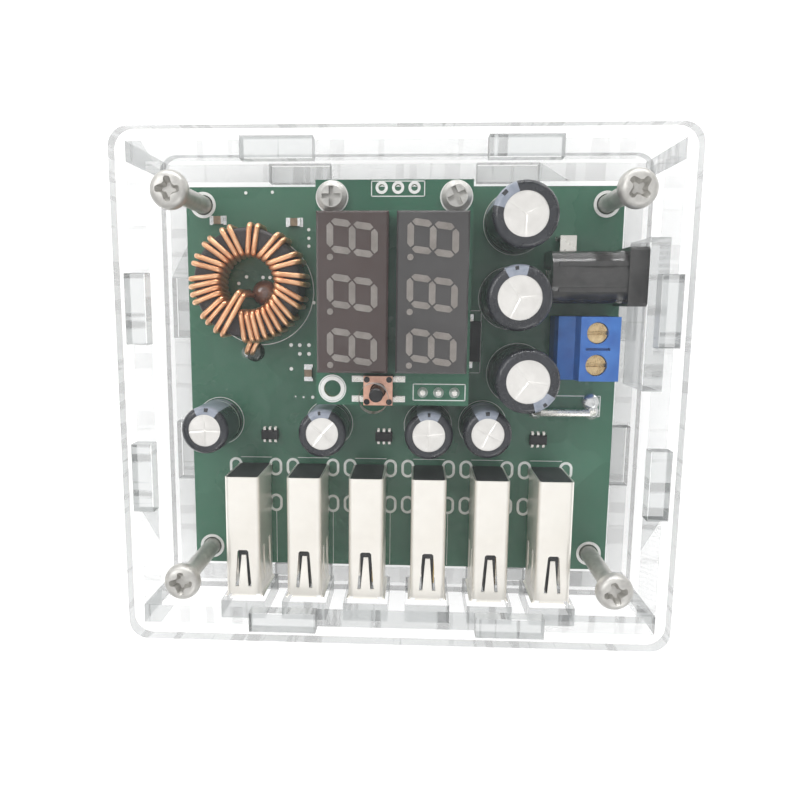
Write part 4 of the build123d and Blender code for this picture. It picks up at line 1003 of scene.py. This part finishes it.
blobs = bmesh.new()
for place, radius, height in (((32.6, -2.9), 1.55, 1.0), ((32.9, -4.5), 1.2, 0.9), ((23.3, -4.65), 1.1, 0.8),
                              ((-26.3, 5.0), 1.0, 0.7)):
    bead(blobs, place, radius, height, 28)
for x, y in ((10.6, 3.6), (10.6, 10.9)):
    box_between(blobs, (*on_board(x - 1.7, y - 0.9), board_top),
                (*on_board(x + 1.7, y + 0.9), board_top + 0.12 * mm))
part_ends = ((-31.1, 27.25, 0), (-18.1, 26.9, 0), (-9.3, 12.15, 90), (-9.3, 8.25, 90), (-3.5, 6.15, 0),
             (-15.9, 1.65, 90))
for x, y, turn in part_ends:
    for side in (-1, 1):
        cap = bmesh.new()
        box_between(cap, (0.62 * mm, -0.66 * mm, 0), (1.03 * mm, 0.66 * mm, 0.93 * mm))
        box_between(cap, (0.9 * mm, -0.75 * mm, 0), (1.45 * mm, 0.75 * mm, 0.1 * mm))
        gather(blobs, cap, (*on_board(x, y), board_top), turn + (0 if side > 0 else 180))
smooth(blobs, 40)
piece("surface_solder", blobs, "solder", solder)
flux = bmesh.new()
bead(flux, (-25.2, 5.2), 1.7, 1.0, 32)
smooth(flux, 40)
flux_glass = finish("flux_residue", (0.016, 0.030, 0.024), (0.050, 0.066, 0.058), 500, (0.08, 0.2), coat=0.6)
piece("flux_bead", flux, "brown_glue", flux_glass)
ceramic = finish("fired_ceramic", (0.20, 0.15, 0.10), (0.34, 0.26, 0.18), 1200, (0.4, 0.6))
dress("small_parts", ceramic)

# The display board stands over the main board on two brass pillars. Two short
# screws hold it, and a three-pin header joins the boards.
dress("display_board", board_mask("display_mask", (0.014, 0.090, 0.050), (0.036, 0.150, 0.088)))
pillar_brass = finish("pillar_brass", (0.52, 0.38, 0.16), (0.78, 0.60, 0.30), 600, (0.2, 0.35), metal=1.0)
header_black = finish("header_moulding", (0.015, 0.015, 0.015), (0.030, 0.030, 0.030), 700, (0.4, 0.55))
dress("display_standoffs", pillar_brass)
dress("display_header_body", header_black)
dress("display_header_pins", tinned)
dress("display_screws", zinc)

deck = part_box("display_board")[1].z
deck_pads, deck_print = bmesh.new(), bmesh.new()
for x, y, inner, outer in ((-10.75, 29.8, 1.4, 2.55), (8.55, 29.8, 1.4, 2.55), (-10.75, 0.0, 1.36, 2.0),
                           (-3.04, 31.2, 0.5, 0.95), (-0.5, 31.2, 0.5, 0.95), (2.04, 31.2, 0.5, 0.95)):
    flat_ring(deck_pads, on_board(x, y), inner * mm, outer * mm, deck, deck + pad_height, 36)
mound = [(0, 0), (0.85 * mm, 0), (0.62 * mm, 0.28 * mm), (0.45 * mm, 0.75 * mm), (0, 0.85 * mm)]
for step in (-1, 0, 1):
    lathe(deck_pads, mound, (*on_board(6.35 + 2.54 * step, -0.5), deck), 20)
for x0, x1 in ((-7.6, -5.7), (-0.8, 1.0)):
    for y in (1.6, -1.6):
        box_between(deck_pads, (*on_board(x0, y - 0.5), deck), (*on_board(x1, y + 0.5), deck + pad_height))
for x0, y0, x1, y1 in ((-4.6, 29.9, 3.6, 32.15), (2.3, -1.75, 10.6, 0.85)):
    frame_lines(deck_print, *on_board(x0, y0), *on_board(x1, y1), line, deck, deck + ink_height)
flat_ring(deck_print, on_board(-10.75, 0.0), 2.05 * mm, 2.25 * mm, deck, deck + ink_height, 40)
smooth(deck_pads, 40)
piece("display_pads", deck_pads, "solder", tin)
piece("display_print", deck_print, "small_part", ink)

# Each display is a moulded block with three unlit digits. The left one has a
# smoked brown face, the right one a smoked blue-grey face.
brown_face = finish("brown_face", (0.044, 0.027, 0.025), (0.064, 0.043, 0.040), 60, (0.16, 0.26), coat=0.2)
slate_face = finish("slate_face", (0.042, 0.039, 0.040), (0.066, 0.062, 0.062), 60, (0.16, 0.26), coat=0.2)
unlit = finish("unlit_resin", (0.180, 0.160, 0.146), (0.260, 0.238, 0.220), 500, (0.35, 0.5),
               relief=0.02 * mm)
dress("voltage_display", brown_face)
dress("current_display", slate_face)
dress("display_segments", unlit)

# The push button: a black moulding under a copper coloured plate, on four
# tinned legs, with a long black stem that reaches through the lid.
copper_plate = finish("copper_plate", (0.66, 0.36, 0.27), (0.84, 0.52, 0.40), 700, (0.25, 0.42), metal=0.7,
                      relief=0.02 * mm)
stem_black = finish("stem_moulding", (0.012, 0.012, 0.013), (0.030, 0.030, 0.032), 500, (0.35, 0.5),
                    relief=0.02 * mm)
cover_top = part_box("button_cover")[1].z
rivets = bmesh.new()
for x in (-5.0, -1.5):
    for y in (-1.75, 1.75):
        flat_dot(rivets, on_board(x, y), 0.48 * mm, cover_top - 0.02 * mm, cover_top + 0.06 * mm)
smooth(rivets)
piece("button_rivets", rivets, "black_plastic", stem_black)
dress("button_base", socket_black)
dress("button_cover", copper_plate)
dress("button_dome", tinned)
dress("button_legs", tinned)
dress("button_plunger", stem_black)
